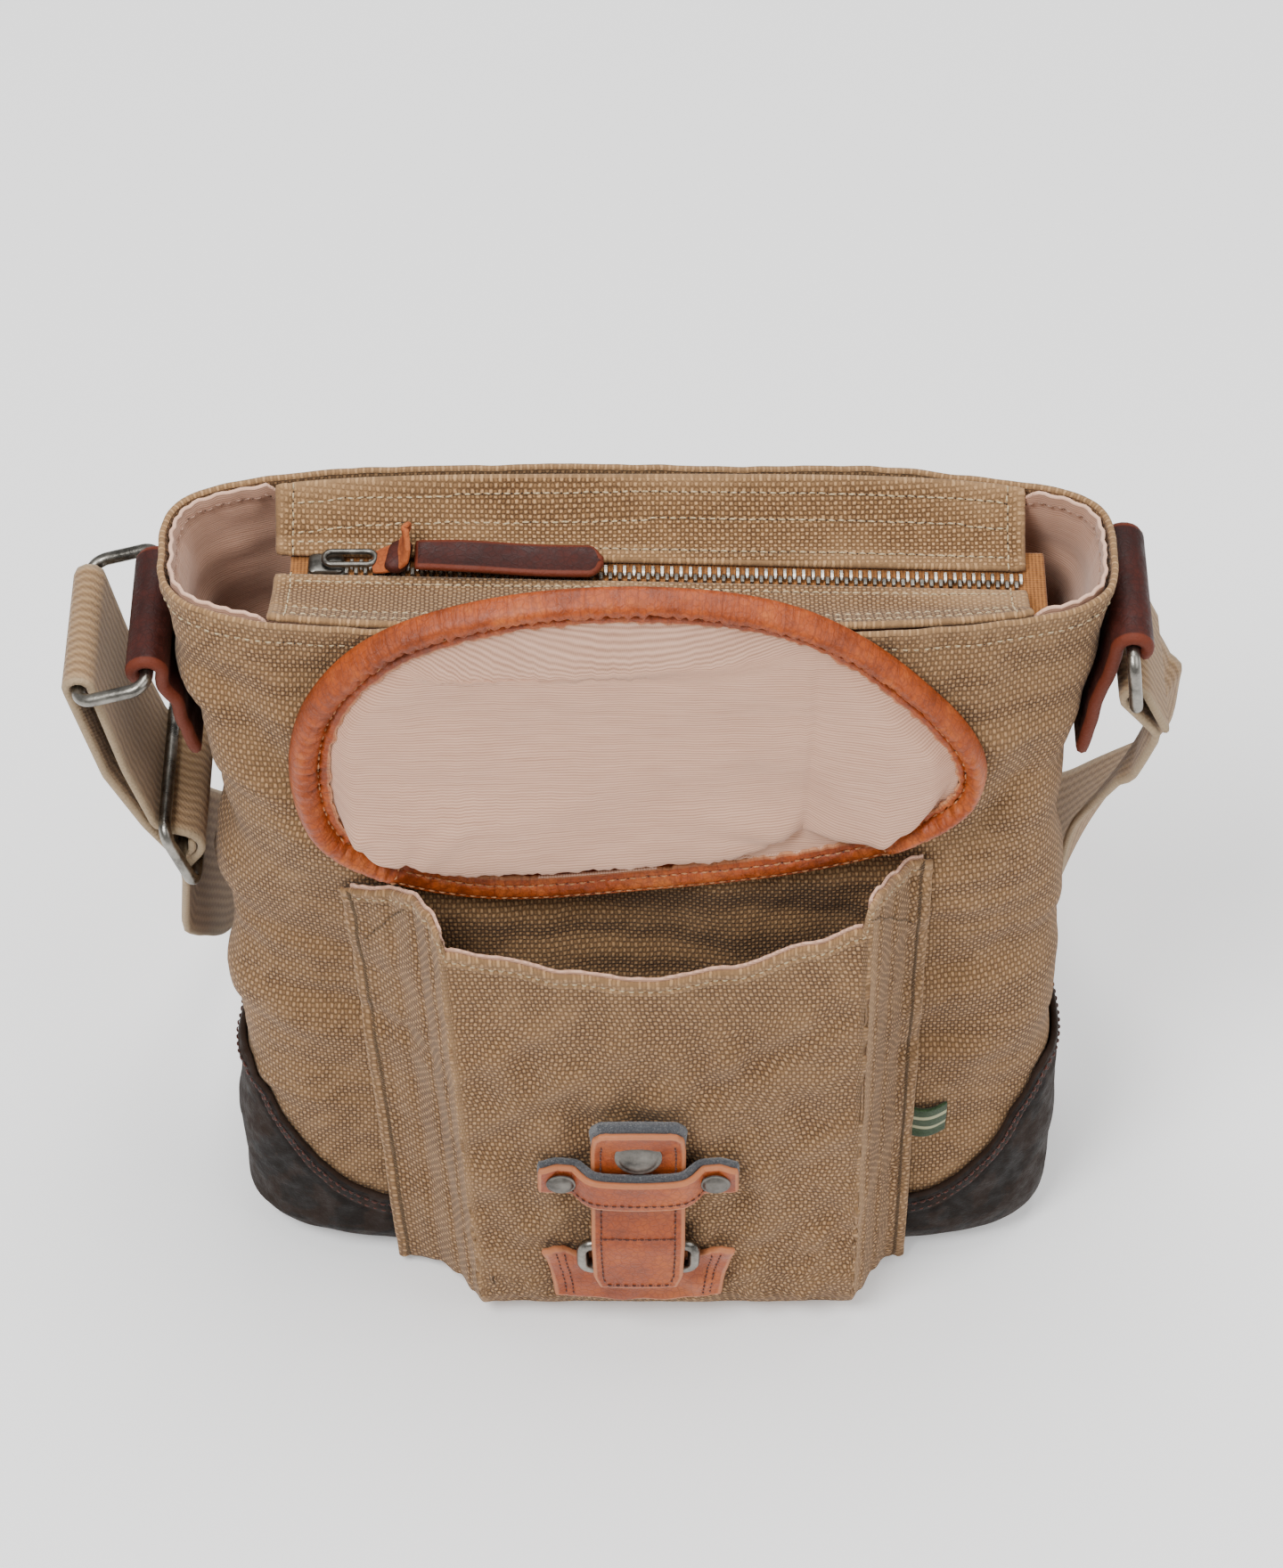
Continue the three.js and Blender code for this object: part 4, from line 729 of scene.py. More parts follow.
def leather_material(name, deep, base, bright, raw, roughness=0.45, grain=1.0, pores=0.7, coat=0.12,
                     wrinkle=0.0, mottle=0.035, stain=None):
    m = Maker(name, roughness=roughness, coat=coat, specular=0.32)
    u, v, wear = m.cloth()
    where = m.place()
    cell = m.cells(where, 0.62 * pores)
    small = m.cells(where, 1.5 * pores)
    crease = m.span(cell, 0.0, 0.16)
    pore = m.span(small, 0.0, 0.2)
    cloud = m.noise(where, mottle, 6, 0.62)
    patch = m.noise(where, mottle * 4.5, 5, 0.65)
    tone = m.average(cloud, patch, 0.4)
    colour = m.ramp(tone, (0.3, deep), (0.5, base), (0.7, bright))
    colour = m.blend(m.times(m.minus(1.0, crease), 0.34), colour, deep)
    if stain:
        spot = m.span(m.noise(where, mottle * 7, 6, 0.7), 0.56, 0.74)
        colour = m.blend(m.times(spot, 0.4), colour, stain)
    colour = m.blend(m.times(m.span(wear, 0.2, 0.9), 0.85), colour, raw)
    m.raise_by(crease, 0.05 * grain)
    m.raise_by(pore, 0.03 * grain)
    m.raise_by(m.noise(where, 0.35, 4), 0.25 * grain)
    if wrinkle:
        fine = m.noise(m.pair(m.times(u, 0.7), m.times(v, 0.13)), 1.0, 5, 0.62, 0.6)
        m.raise_by(fine, wrinkle)
        # Painted shade: the wrinkles' hollows are darkened towards the deep colour.
        colour = m.blend(m.times(m.span(fine, 0.36, 0.52, 1.0, 0.0), 0.35), colour, deep)
    rough = m.span(patch, 0.3, 0.7, roughness * 0.82, min(1.0, roughness * 1.25))
    rough = m.math("MAXIMUM", rough, m.times(wear, 0.85))
    return m.finish(colour, rough)


def felt_material(name):
    m = Maker(name, roughness=1.0, sheen=0.4, specular=0.1)
    where = m.place()
    fuzz = m.noise(where, 1.6, 6, 0.75)
    fleck = m.span(m.noise(where, 2.6, 3, 0.6, 1.5), 0.6, 0.7)
    colour = m.ramp(fuzz, (0.25, rgb("26272a")), (0.55, rgb("53565b")), (0.8, rgb("8a8d90")))
    colour = m.blend(m.times(fleck, 0.6), colour, rgb("d9d9d6"))
    m.raise_by(fuzz, 0.7)
    return m.finish(colour)


def metal_material(name, dark, light, roughness=0.3, scratch=1.0):
    m = Maker(name, roughness=roughness, metallic=1.0)
    where = m.place()
    cloud = m.noise(where, 0.12, 5, 0.65)
    hair = m.noise(m.stretched(where, 0.3, 3.0, 3.0), 1.0, 4, 0.7)
    colour = m.ramp(cloud, (0.3, dark), (0.65, light))
    rough = m.span(m.average(cloud, hair), 0.3, 0.7, roughness * 0.7, roughness * 1.5)
    m.raise_by(m.noise(where, 0.5, 4), 0.09 * scratch)
    m.raise_by(hair, 0.012 * scratch)
    return m.finish(colour, rough)


def webbing_material(name):
    m = Maker(name, roughness=0.92, sheen=0.15, specular=0.2)
    u, v, wear = m.cloth()
    where = m.place()
    wave = m.math("SINE", m.times(v, 2 * math.pi / 7.0))
    rib = m.wave(m.add(u, m.times(wave, 0.28)), 3.2)
    twist = m.wave(m.add(v, m.times(u, 0.9)), 1.5)
    height = m.add(m.times(rib, 0.36), m.times(twist, 0.14))
    height = m.add(height, 0.5)
    slub = m.noise(m.pair(m.times(u, 1.2), m.times(v, 0.25)), 1.0, 4, 0.7)
    tone = m.average(height, slub, 0.38)
    colour = m.ramp(tone, (0.0, rgb("6d5338")), (0.5, rgb("927556")), (1.0, rgb("b3946f")))
    cloud = m.noise(where, 0.03, 4)
    shade = m.ramp(cloud, (0.3, (0.84, 0.82, 0.8, 1)), (0.7, (1.05, 1.03, 1.0, 1)))
    colour = m.blend(0.5, colour, shade, "MULTIPLY")
    colour = m.blend(m.times(wear, 0.4), colour, rgb("d5c4a4"))
    m.raise_by(height, 0.24)
    m.raise_by(m.noise(where, 1.6, 5), 0.45)
    return m.finish(colour)


def plain_thread(name, colour, shade):
    m = Maker(name, roughness=0.75, sheen=0.2, specular=0.3)
    where = m.place()
    twist = m.noise(m.stretched(where, 2.0, 2.0, 2.0), 1.0, 3)
    m.raise_by(twist, 0.12)
    return m.finish(m.ramp(twist, (0.3, shade), (0.65, colour)))


def tape_material(name, dark, light):
    m = Maker(name, roughness=0.88, sheen=0.2, specular=0.2)
    u, v, _ = m.cloth()
    line = m.wave(u, 1.1)
    cross = m.wave(v, 0.7)
    height = m.times(m.add(m.add(line, cross), 2.0), 0.25)
    fuzz = m.noise(m.place(), 0.9, 4)
    tone = m.average(height, fuzz)
    m.raise_by(height, 0.14)
    return m.finish(m.ramp(tone, (0.2, dark), (0.75, light)))


# The label's thread, and its two stripes: levels as shares of its height, and half of a stripe's height
LABEL_THREAD = 0.55
LABEL_STRIPES = (0.3, 0.72)
STRIPE_HALF = 0.9


def label_material(name):
    m = Maker(name, roughness=0.8, sheen=0.2, specular=0.2)
    u, v, _ = m.cloth()
    low, high = (m.math("ABSOLUTE", m.minus(v, LABEL_HEIGHT * level)) for level in LABEL_STRIPES)
    stripe = m.math("MAXIMUM", m.math("LESS_THAN", low, STRIPE_HALF), m.math("LESS_THAN", high, STRIPE_HALF))
    weave = m.times(m.wave(u, LABEL_THREAD), m.wave(v, LABEL_THREAD))
    fuzz = m.noise(m.place(), 1.4, 4)
    green = m.ramp(m.add(m.times(weave, 0.2), fuzz), (0.3, rgb("1c2c16")), (0.75, rgb("3b5232")))
    colour = m.blend(m.times(stripe, 0.85), green, rgb("b9b78f"))
    m.raise_by(weave, 0.08)
    return m.finish(colour)


# The canvas's dark and light colours are the painted shade of its weave's hollows and the painted highlight
# of its seeds.
CANVAS_LOOK = canvas_material("canvas", rgb("4f3722"), rgb("8b6844"), rgb("b48f67"), rgb("aa8761"))
LINING_LOOK = lining_material("lining", rgb("a67a62"), rgb("cb9f86"), rgb("e0b79e"))
TAN_LOOK = leather_material("tan_leather", rgb("5a2208"), rgb("984314"), rgb("b9622a"), rgb("bd7a52"),
                            roughness=0.46)
RIM_LOOK = leather_material("tan_leather_rim", rgb("5e2408"), rgb("9c4412"), rgb("bf682c"), rgb("cb9168"),
                            roughness=0.46, wrinkle=0.45)
BURGUNDY_LOOK = leather_material("burgundy_leather", rgb("180604"), rgb("350f08"), rgb("4a190e"),
                                 rgb("662810"), roughness=0.6, grain=0.8, coat=0.0)
SUEDE_LOOK = leather_material("suede", rgb("5a2410"), rgb("8c4220"), rgb("a85a30"), rgb("a85a30"),
                              roughness=0.95, grain=1.2, coat=0)
DARK_LOOK = leather_material("dark_leather", rgb("0a0604"), rgb("150d08"), rgb("24170e"), rgb("2c1b10"),
                             roughness=0.8, grain=0.9, coat=0.0, stain=rgb("3a1f10"))
FELT_LOOK = felt_material("felt")
NICKEL_LOOK = metal_material("nickel", rgb("45433f"), rgb("98948c"), 0.3)
RIVET_LOOK = metal_material("rivet", rgb("3a3835"), rgb("7c7872"), 0.38)
GUNMETAL_LOOK = metal_material("gunmetal", rgb("3b3a38"), rgb("76736d"), 0.34)
TEETH_LOOK = metal_material("zip_metal", rgb("7d7971"), rgb("c9c4ba"), 0.3)
WEBBING_LOOK = webbing_material("webbing")
TAPE_LOOK = tape_material("zip_tape", rgb("5a3417"), rgb("a56c38"))
LABEL_LOOK = label_material("label")
CREAM_THREAD = plain_thread("cream_thread", rgb("cdb892"), rgb("8f7856"))
PALE_THREAD = plain_thread("pale_thread", rgb("c98e60"), rgb("8e5430"))
PINK_THREAD = plain_thread("pink_thread", rgb("b08d78"), rgb("7a5a4a"))
BROWN_THREAD = plain_thread("brown_thread", rgb("6d5334"), rgb("3f2d1a"))
RUST_THREAD = plain_thread("rust_thread", rgb("5b2b1c"), rgb("2e1510"))
# Painted shade: the dark colour of the discs that stand for the needle holes.
NEEDLE_HOLE_SHADE_LOOK = plain_thread("needle_hole_shade", rgb("2b1d12"), rgb("160e08"))


def sewing(material, pitch, length, radius, hole_shade=NEEDLE_HOLE_SHADE_LOOK, **more):
    return dict(material=material, pitch=pitch, length=length, radius=radius, hole_shade=hole_shade, **more)


MOUTH_SEWING = sewing(CREAM_THREAD, 3.1, 2.2, 0.3)
BASE_SEWING = sewing(RUST_THREAD, 2.9, 2.2, 0.34)
LINING_SEWING = sewing(PINK_THREAD, 3.0, 2.1, 0.26)
FACING_SEWING = sewing(CREAM_THREAD, 3.0, 2.2, 0.3)
POCKET_HEM_SEWING = sewing(CREAM_THREAD, 2.9, 2.0, 0.32)
POCKET_CORNER_SEWING = sewing(BROWN_THREAD, 2.6, 1.9, 0.28, hole_shade=None)
FLAP_SEWING = sewing(PALE_THREAD, 3.2, 2.3, 0.3)
FLAP_JOINT_SEWING = sewing(PALE_THREAD, 2.4, 1.8, 0.3, hole_shade=None)
PATCH_SEWING = sewing(RUST_THREAD, 2.3, 1.7, 0.28)
TAB_SEWING = sewing(RUST_THREAD, 2.5, 1.8, 0.3)
KEEPER_SEWING = sewing(RUST_THREAD, 2.6, 1.9, 0.28)


def overcast(side):
    """Close slanting stitches down a pocket side, 1 for the left side and -1 for the right."""
    return sewing(BROWN_THREAD, 1.15, 2.3, 0.28, hole_shade=None, sink=0.1, turn=side * 1.15)


# The bag's skin

def body_section(level):
    return (mix(BASE_WIDTH, MOUTH_WIDTH, level) / 2 * column(BODY_SECTIONS, "width", level),
            mix(BASE_DEPTH, MOUTH_DEPTH, level) / 2 * column(BODY_SECTIONS, "depth", level),
            2 / column(BODY_SECTIONS, "squareness", level),
            BASE_WIDTH * column(BODY_SECTIONS, "lean", level))


def fold_push(points, level, section):
    half_width, half_depth, _, shift = section
    push = np.zeros(points.shape[:-1])
    for face, place_on, at_level, slope, length, breadth, depth in FOLDS:
        side = {"left": -1, "right": 1}.get(face, 0)
        centre = vec(side * half_width if side else place_on * half_width,
                     place_on * half_depth if side else {"front": -1, "back": 1}[face] * half_depth,
                     at_level * HEIGHT)
        offset = points - vec(shift, 0, 0) - centre
        offset[..., 2] = level * HEIGHT - centre[2]
        tilt = math.radians(slope)
        run = vec(0 if side else math.cos(tilt), math.cos(tilt) if side else 0, math.sin(tilt))
        along = offset @ run
        across = np.linalg.norm(offset - along[..., None] * run, axis=-1)
        fade = (along / (length * MOUTH_WIDTH)) ** 2 + (across / (breadth * MOUTH_WIDTH)) ** 2
        push += depth * BASE_DEPTH * np.exp(-fade)
    return push


SOFT = Waves(3, 46, stretch=1.5)
RIPPLE = Waves(5, 17, stretch=2.6)
FINE = Waves(9, 7.5, stretch=1.6)


def skin_table():
    base = np.empty((LEVELS, AROUND, 3))
    out = np.empty((LEVELS, AROUND, 3))
    angle = np.linspace(0, 2 * math.pi, 1440, endpoint=False)
    cos, sin = np.cos(angle), np.sin(angle)
    for k, level in enumerate(np.linspace(0, 1, LEVELS)):
        section = tuple(float(x) for x in body_section(level))
        half_width, half_depth, power, shift = section
        dense = np.stack([shift + half_width * squared(cos, power), half_depth * squared(sin, power),
                          np.full_like(cos, level * HEIGHT)], axis=1)
        ring = resampled(np.vstack([dense, dense[:1]]), 0.5)
        lengths = np.linspace(0, 1, len(ring))
        even = np.linspace(0, 1, AROUND, endpoint=False)
        ring = np.stack([np.interp(even, lengths, ring[:, c]) for c in range(3)], axis=1)
        run = np.roll(ring, -1, axis=0) - np.roll(ring, 1, axis=0)
        normal = unit(np.stack([run[:, 1], -run[:, 0], np.zeros(AROUND)], axis=1))
        push = fold_push(ring, level, section)
        place_round = even * 2 * (BASE_WIDTH + BASE_DEPTH)
        z = level * HEIGHT
        closed = np.minimum(1, np.minimum(even, 1 - even) * 14)
        hang = smooth((z - 40) / 60) * (1 - 0.65 * smooth((z - 270) / 26))
        push += closed * hang * (1.0 * SOFT(place_round, z) + 0.55 * RIPPLE(place_round, z))
        push += closed * 0.14 * FINE(place_round, z)
        base[k] = ring + normal * push[:, None]
        out[k] = normal
    return base, out


SKIN_BASE, SKIN_OUT = skin_table()


def skin(z, offset=0.0):
    """Points of the skin; z's last axis runs around the bag."""
    z = np.asarray(z, float)
    place_up = clamp(z / HEIGHT) * (LEVELS - 1)
    low = np.minimum(place_up.astype(int), LEVELS - 2)
    share = (place_up - low)[..., None]
    cols = np.broadcast_to(np.arange(AROUND), z.shape)
    points = mix(SKIN_BASE[low, cols], SKIN_BASE[low + 1, cols], share)
    outwards = mix(SKIN_OUT[low, cols], SKIN_OUT[low + 1, cols], share)
    points = points + outwards * np.asarray(offset, float)[..., None]
    points[..., 2] = z
    return points


def front_y(z, x=0.0):
    half_width, half_depth, power, shift = body_section(clamp(np.asarray(z, float) / HEIGHT))
    return -half_depth * (1 - clamp(np.abs(x - shift) / half_width) ** (2 / power)) ** (power / 2)


FRONT_X = np.linspace(-136, 142, 279)


def front_table():
    made = np.empty((LEVELS, len(FRONT_X)))
    for k in range(LEVELS):
        ring = SKIN_BASE[k]
        front = ring[ring[:, 1] < -1]
        order = np.argsort(front[:, 0])
        made[k] = np.interp(FRONT_X, front[order, 0], front[order, 1])
    return made


FRONT_Y = front_table()


def folded_front_y(x, z):
    up = clamp(np.asarray(z, float) / HEIGHT) * (LEVELS - 1)
    across = clamp(np.asarray(x, float) - FRONT_X[0], 0, len(FRONT_X) - 1.001)
    k, i = np.minimum(up.astype(int), LEVELS - 2), across.astype(int)
    f, g = up - k, across - i
    low, high = (mix(FRONT_Y[row, i], FRONT_Y[row, i + 1], g) for row in (k, k + 1))
    return mix(low, high, f)


def leather_edge(x):
    across = np.abs(x - BASE_WIDTH * 0.015) / (BASE_WIDTH / 2)
    climb = clamp((across - 0.62) / 0.36)
    return mix(BASE_MIDDLE_RISE, BASE_SIDE_RISE, climb ** 2.2)


def pocket_ground_y(x, z):
    over = z - leather_edge(x)
    covered = 1 - clamp(over / (LEATHER * 8) - 0.5)
    return folded_front_y(x, z) - covered * (LEATHER + LAYER_GAP) - 0.8 * LAYER_GAP


def side_x(z, side):
    k = int(round(clamp(z / HEIGHT) * (LEVELS - 1)))
    return side * np.max(side * SKIN_BASE[k][:, 0])


ROUND_U = np.linspace(0, 2 * (BASE_WIDTH + BASE_DEPTH) * 0.98, AROUND)


def round_wear(points, normal, scale=1.0):
    """Wear on the ridges of the folds: where the surface bulges out more than around it."""
    offset = (points * normal).sum(-1)
    wide = offset.copy()
    for _ in range(16):
        wide[1:-1] = (wide[:-2] + wide[2:] + 2 * wide[1:-1]) / 4
        wide = (np.roll(wide, 1, 1) + np.roll(wide, -1, 1) + 2 * wide) / 4
    return smooth(0.3 + (offset - wide) * scale)


def canvas_body():
    rows = 104
    z = np.linspace(0.07 * HEIGHT, HEIGHT - 1, rows)[:, None] * np.ones((1, AROUND))
    brim = smooth((z - HEIGHT + 9) / 3)
    groove = bell(z - HEIGHT + 7, 1.2)
    pull = 0.22 * np.sin(ROUND_U * 2 * math.pi / 3.1) * bell(z - HEIGHT + 5, 3)
    grid = skin(z, -CANVAS / 2 + 0.3 * brim - 0.35 * groove + pull)
    u = np.broadcast_to(ROUND_U, (rows, AROUND))
    wear = 0.3 * round_wear(grid, normals_of(grid, True), 0.5) + 0.4 * smooth((z - HEIGHT + 8) / 7)
    low = 1 - smooth((z - leather_edge(grid[..., 0]) - 4) / 9)
    wear = clamp(wear + 0.3 * low)
    made = slab("canvas_wall", grid, CANVAS, CANVAS_LOOK, around=True, u=u, v=z, wear=wear)
    line = skin(np.full((1, AROUND), HEIGHT - 7.0), -0.1)[0]
    line = np.vstack([line, line[:1]])
    out = np.vstack([SKIN_OUT[-1], SKIN_OUT[-1][:1]])
    row_piece("mouth_stitches", [(line, out, MOUTH_SEWING)])
    return made


# The base's two rows of stitches: how far below its edge and how far off its face
BASE_ROWS = ((2.4, 0.45), (6.3, 0.1))


def cup_rows(offset, floor_z):
    shares = 1 - np.linspace(1, 0, 32) ** 1.5
    cols = skin(np.full((1, AROUND), float(BASE_ROUND)), offset)[0]
    top = leather_edge(cols[:, 0])
    rows = []
    for share in (0.0, 0.02, 0.05, 0.1, 0.17, 0.26, 0.37, 0.5, 0.65, 0.82):
        inset = BASE_ROUND * (1 - math.sqrt(max(0.0, 1 - (1 - share) ** 2)))
        z = floor_z + (BASE_ROUND - floor_z) * share
        rows.append(skin(np.full(AROUND, z), offset - inset))
    for share in shares:
        z = mix(BASE_ROUND, top, share)
        band = bell(top - z - 8.6, 1.6) + 0.5 * bell(top - z - 2.4, 0.8)
        puff = 0.5 * smooth((top - z) / 2) - 0.7 * band
        swell = 0.8 * SOFT(ROUND_U * 0.8, z * 1.3) * smooth((top - z - 9) / 12)
        rows.append(skin(z, offset + puff + swell * 0.6))
    return np.array(rows)


def leather_base():
    grid = cup_rows(LAYER_GAP + LEATHER / 2, LEATHER / 2)
    inner = np.array([mix(grid[0].mean(0), grid[0], s) for s in (0.05, 0.3, 0.55, 0.8, 0.93)])
    inner[..., 2] = grid[0, :, 2].mean()
    grid = np.concatenate([inner, grid])
    rows = len(grid)
    u = np.broadcast_to(ROUND_U, (rows, AROUND))
    top = grid[-1, :, 2]
    ridge = round_wear(grid, normals_of(grid, True), 0.8)
    wear = clamp(0.3 * smooth((grid[..., 2] - top + 12) / 4) + 0.9 * ridge)
    made = slab("base_cup", grid, LEATHER, DARK_LOOK, around=True, floor=True, u=u, v=grid[..., 2],
                wear=wear * 0.6)
    out = np.vstack([SKIN_OUT[0], SKIN_OUT[0][:1]])
    lines = []
    for down, lift in BASE_ROWS:
        line = skin((top - down)[None], LAYER_GAP + LEATHER + lift)[0]
        lines.append((np.vstack([line, line[:1]]), out, BASE_SEWING))
    row_piece("base_stitches", lines)
    return made


def lining_edge(x):
    beside = np.abs(x - FLANGE_MIDDLE_X) - FLANGE_WIDTH / 2
    return HEIGHT - mix(FLANGE * 4, GAP * 2, clamp(beside / (FLANGE * 3) + 0.5))


def body_lining():
    offset = -CANVAS - LAYER_GAP - LINING / 2
    top = lining_edge(skin(np.full((1, AROUND), HEIGHT - 1.0), offset)[0][:, 0])
    floor_z = LEATHER + GAP + LINING / 2
    low = np.linspace(floor_z, BASE_ROUND, 8)[:, None] * np.ones((1, AROUND))
    levels = 1 - np.linspace(1, 0, 54)[1:, None] ** 1.5
    z = np.concatenate([low, mix(BASE_ROUND, top[None], levels)])
    inset = BASE_ROUND * (1 - np.sqrt(1 - clamp(1 - z / BASE_ROUND) ** 2))
    below = top[None] - z
    gather = np.sin(ROUND_U * 2 * math.pi / 7.5 + 1.3 * np.sin(ROUND_U / 9))
    pucker = 0.35 * gather * bell(below, 12)
    seam = bell(below - 5.5, 0.8)
    grid = skin(z, offset - inset + pucker - 0.45 * smooth((5 - below) / 1.0) + 0.3 * seam)
    middle = grid[0].mean(0)
    floor_rows = [mix(middle, grid[0], share) for share in (0.5, 0.9)]
    grid = np.concatenate([floor_rows, grid])
    u = np.broadcast_to(ROUND_U, grid.shape[:2])
    rows = np.argmin(np.abs(grid[..., 2] - (top - 4.2)[None]), axis=0)
    cols = np.arange(AROUND)
    line = grid[rows, cols] - SKIN_OUT[-1] * (LINING / 2 + 0.1)
    for tag, side in (("left", -1), ("right", 1)):
        ends = np.nonzero(side * (line[:, 0] - FLANGE_MIDDLE_X) > FLANGE_WIDTH / 2 + 1)[0]
        if side > 0:
            ends = np.roll(ends, -int(np.argmax(np.diff(ends) > 1)) - 1)
        row_piece(f"lining_stitches_{tag}", [(line[ends], -SKIN_OUT[-1][ends], LINING_SEWING)])
    return slab("inner_bag", grid, LINING, LINING_LOOK, around=True, floor=True, u=u, v=grid[..., 2])


place(leather_base(), "dark_leather", "leather_base")
place(canvas_body(), "canvas", "canvas_body")
place(body_lining(), "lining", "body_lining")


# The zip between its facings

ZIP_Z = HEIGHT - ZIP_DROP


def zip_y(x):
    return ZIP_MIDDLE_Y + ZIP_SKEW * ((x - ZIP_MIDDLE_X) / ZIP_LENGTH)


# The facings' rows of stitches: below the rim, beside the zip and at the two ends, and a seam's half width
FACING_ROWS = (3.2, 9.5)
FACING_HEM_ROW = 2.8
FACING_END_ROW = 3.0
SEAM = 0.7


def flange(name, side):
    reach = SLIDER_WIDTH / 2 + FLANGE / 2
    inset = CANVAS + FLANGE * 0.85
    share, across = np.meshgrid(np.linspace(0, 1, 36), np.linspace(0, 1, 210), indexing="ij")
    x = FLANGE_MIDDLE_X + FLANGE_WIDTH * (across - 0.5)
    y = mix(side * (-front_y(HEIGHT, x) - inset), zip_y(x) + side * reach, share)
    sag = np.sin(math.pi * share) * -2.2
    field = Waves(11 + side, 30, stretch=2.6)
    z = mix(HEIGHT - 1.2, ZIP_Z + (ZIP_TAPE + FLANGE) / 2 + GAP, share) + sag
    z = z + 0.4 * np.sin(math.pi * share) * field(x, y * 1.5)
    width = np.abs(y[-1] - y[0])[None]
    run = share * width
    seams = sum(bell(run - down, SEAM) for down in FACING_ROWS) + bell(width - run - FACING_HEM_ROW, SEAM)
    hem = smooth((4.5 - (width - run)) / 1.2)
    near = (x - x.min()) * (x.max() - x) / FLANGE_WIDTH
    seams = seams + bell(near - FACING_END_ROW, SEAM)
    relief = 0.35 * hem - 0.35 * seams + 0.15 * np.sin(x * 2 * math.pi / 2.9) * seams
    grid = np.stack([x, y, z + relief], axis=-1)
    frayed = 0.5 * smooth((2.5 - near) / 2) + 0.4 * smooth((2.5 - run) / 2)
    wear = clamp(0.45 * hem + 0.35 * field(x, y) + frayed)
    up = normals_of(grid) * (-side)
    face = grid + up * (FLANGE / 2 + 0.02)
    cols = np.arange(grid.shape[1])
    lines = []
    for down in (*FACING_ROWS, width[0] - FACING_HEM_ROW):
        place_row = down / width[0] * (len(grid) - 1)
        low = np.clip(np.broadcast_to(place_row, cols.shape).astype(int), 0, len(grid) - 2)
        lines.append((face[low, cols][6:-6], up[low, cols][6:-6], FACING_SEWING))
    for col in (4, -5):
        lines.append((face[:, col], up[:, col], FACING_SEWING))
    row_piece(name + "_stitches", lines)
    return slab(name + "_cloth", grid, FLANGE, CANVAS_LOOK, face=side * -1.0, u=x, v=y * 1.6, wear=wear)


for facing, side in (("flange_rear", 1), ("flange_front", -1)):
    place(flange(facing, side), "canvas", facing)


def zip_tape():
    share, across = np.meshgrid(np.linspace(-0.5, 0.5, 20), np.linspace(-0.5, 0.5, 160), indexing="ij")
    x = ZIP_MIDDLE_X + (ZIP_LENGTH + 10) * across
    y = zip_y(x) + ZIP_TAPE_WIDTH * share
    grid = np.stack([x, y, np.full_like(x, ZIP_Z)], axis=-1)
    return slab("tape_cloth", grid, ZIP_TAPE, TAPE_LOOK, u=x, v=y)


place(zip_tape(), "zip_tape", "zip_tape")


def zip_teeth():
    """Metal teeth from both tapes, interleaved: each has a root on the tape and a rounded head."""
    start = ZIP_MIDDLE_X - ZIP_LENGTH / 2 + SLIDER_LENGTH * 0.8
    count = int((ZIP_MIDDLE_X + ZIP_LENGTH / 2 - start) / TOOTH_PITCH)
    profile = [(-0.62, 0.0), (0.62, 0.0), (0.62, 1.35), (0.42, 1.75), (-0.42, 1.75), (-0.62, 1.35)]
    reach = [(3.0, 0.7), (2.7, 1.0), (0.6, 1.0), (-0.2, 0.9), (-0.75, 0.62)]
    points, faces = [], []
    template = grid_faces(len(reach), 6, True).tolist() + [list(range(6))[::-1], list(range(24, 30))]
    bottom = ZIP_Z + ZIP_TAPE / 2 + 0.05
    for k in range(2 * count):
        side = 1 if k % 2 else -1
        x = start + k * TOOTH_PITCH / 2
        y = zip_y(x)
        first = len(points)
        for along, size in reach:
            for dx, dz in profile:
                points.append((x + dx * size, y + side * along, bottom + dz * size + 0.1))
        faces.extend([[first + p for p in f] for f in template])
    return mesh_object("chain_teeth", np.array(points), faces, TEETH_LOOK, sharp=30)


place(zip_teeth(), "metal", "zip_teeth")

SLIDER_X = ZIP_MIDDLE_X - ZIP_LENGTH / 2 + SLIDER_LENGTH / 2
SLIDER_TOP = ZIP_Z + ZIP_TAPE / 2 + GAP + SLIDER_HEIGHT
X_AXIS, Y_AXIS, Z_AXIS = vec(1, 0, 0), vec(0, 1, 0), vec(0, 0, 1)


# The slider's two plates and the waist between them: level and size as shares
SLIDER_SHAPE = ((0, 0.92), (0.06, 1), (0.3, 1), (0.38, 0.93), (0.5, 0.9), (0.56, 0.97), (0.74, 0.94),
                (0.84, 0.86), (0.88, 0.7))
SLIDER_CORNER = 1.9


def zip_slider():
    middle = vec(SLIDER_X, zip_y(SLIDER_X), 0)
    sections = []
    for share, size in SLIDER_SHAPE:
        here = middle + Z_AXIS * mix(SLIDER_TOP - SLIDER_HEIGHT, SLIDER_TOP, share)
        long, wide, corner = (size * whole for whole in (SLIDER_LENGTH, SLIDER_WIDTH, SLIDER_CORNER))
        sections.append(rounded_loop(here, X_AXIS, Y_AXIS, long, wide, corner, 6, 4))
    count = min(len(s) for s in sections)
    sections = np.array([s[np.linspace(0, len(s), count, endpoint=False).astype(int)] for s in sections])
    return swept("slider_body", sections, GUNMETAL_LOOK, sharp=32)


place(zip_slider(), "metal", "zip_slider")


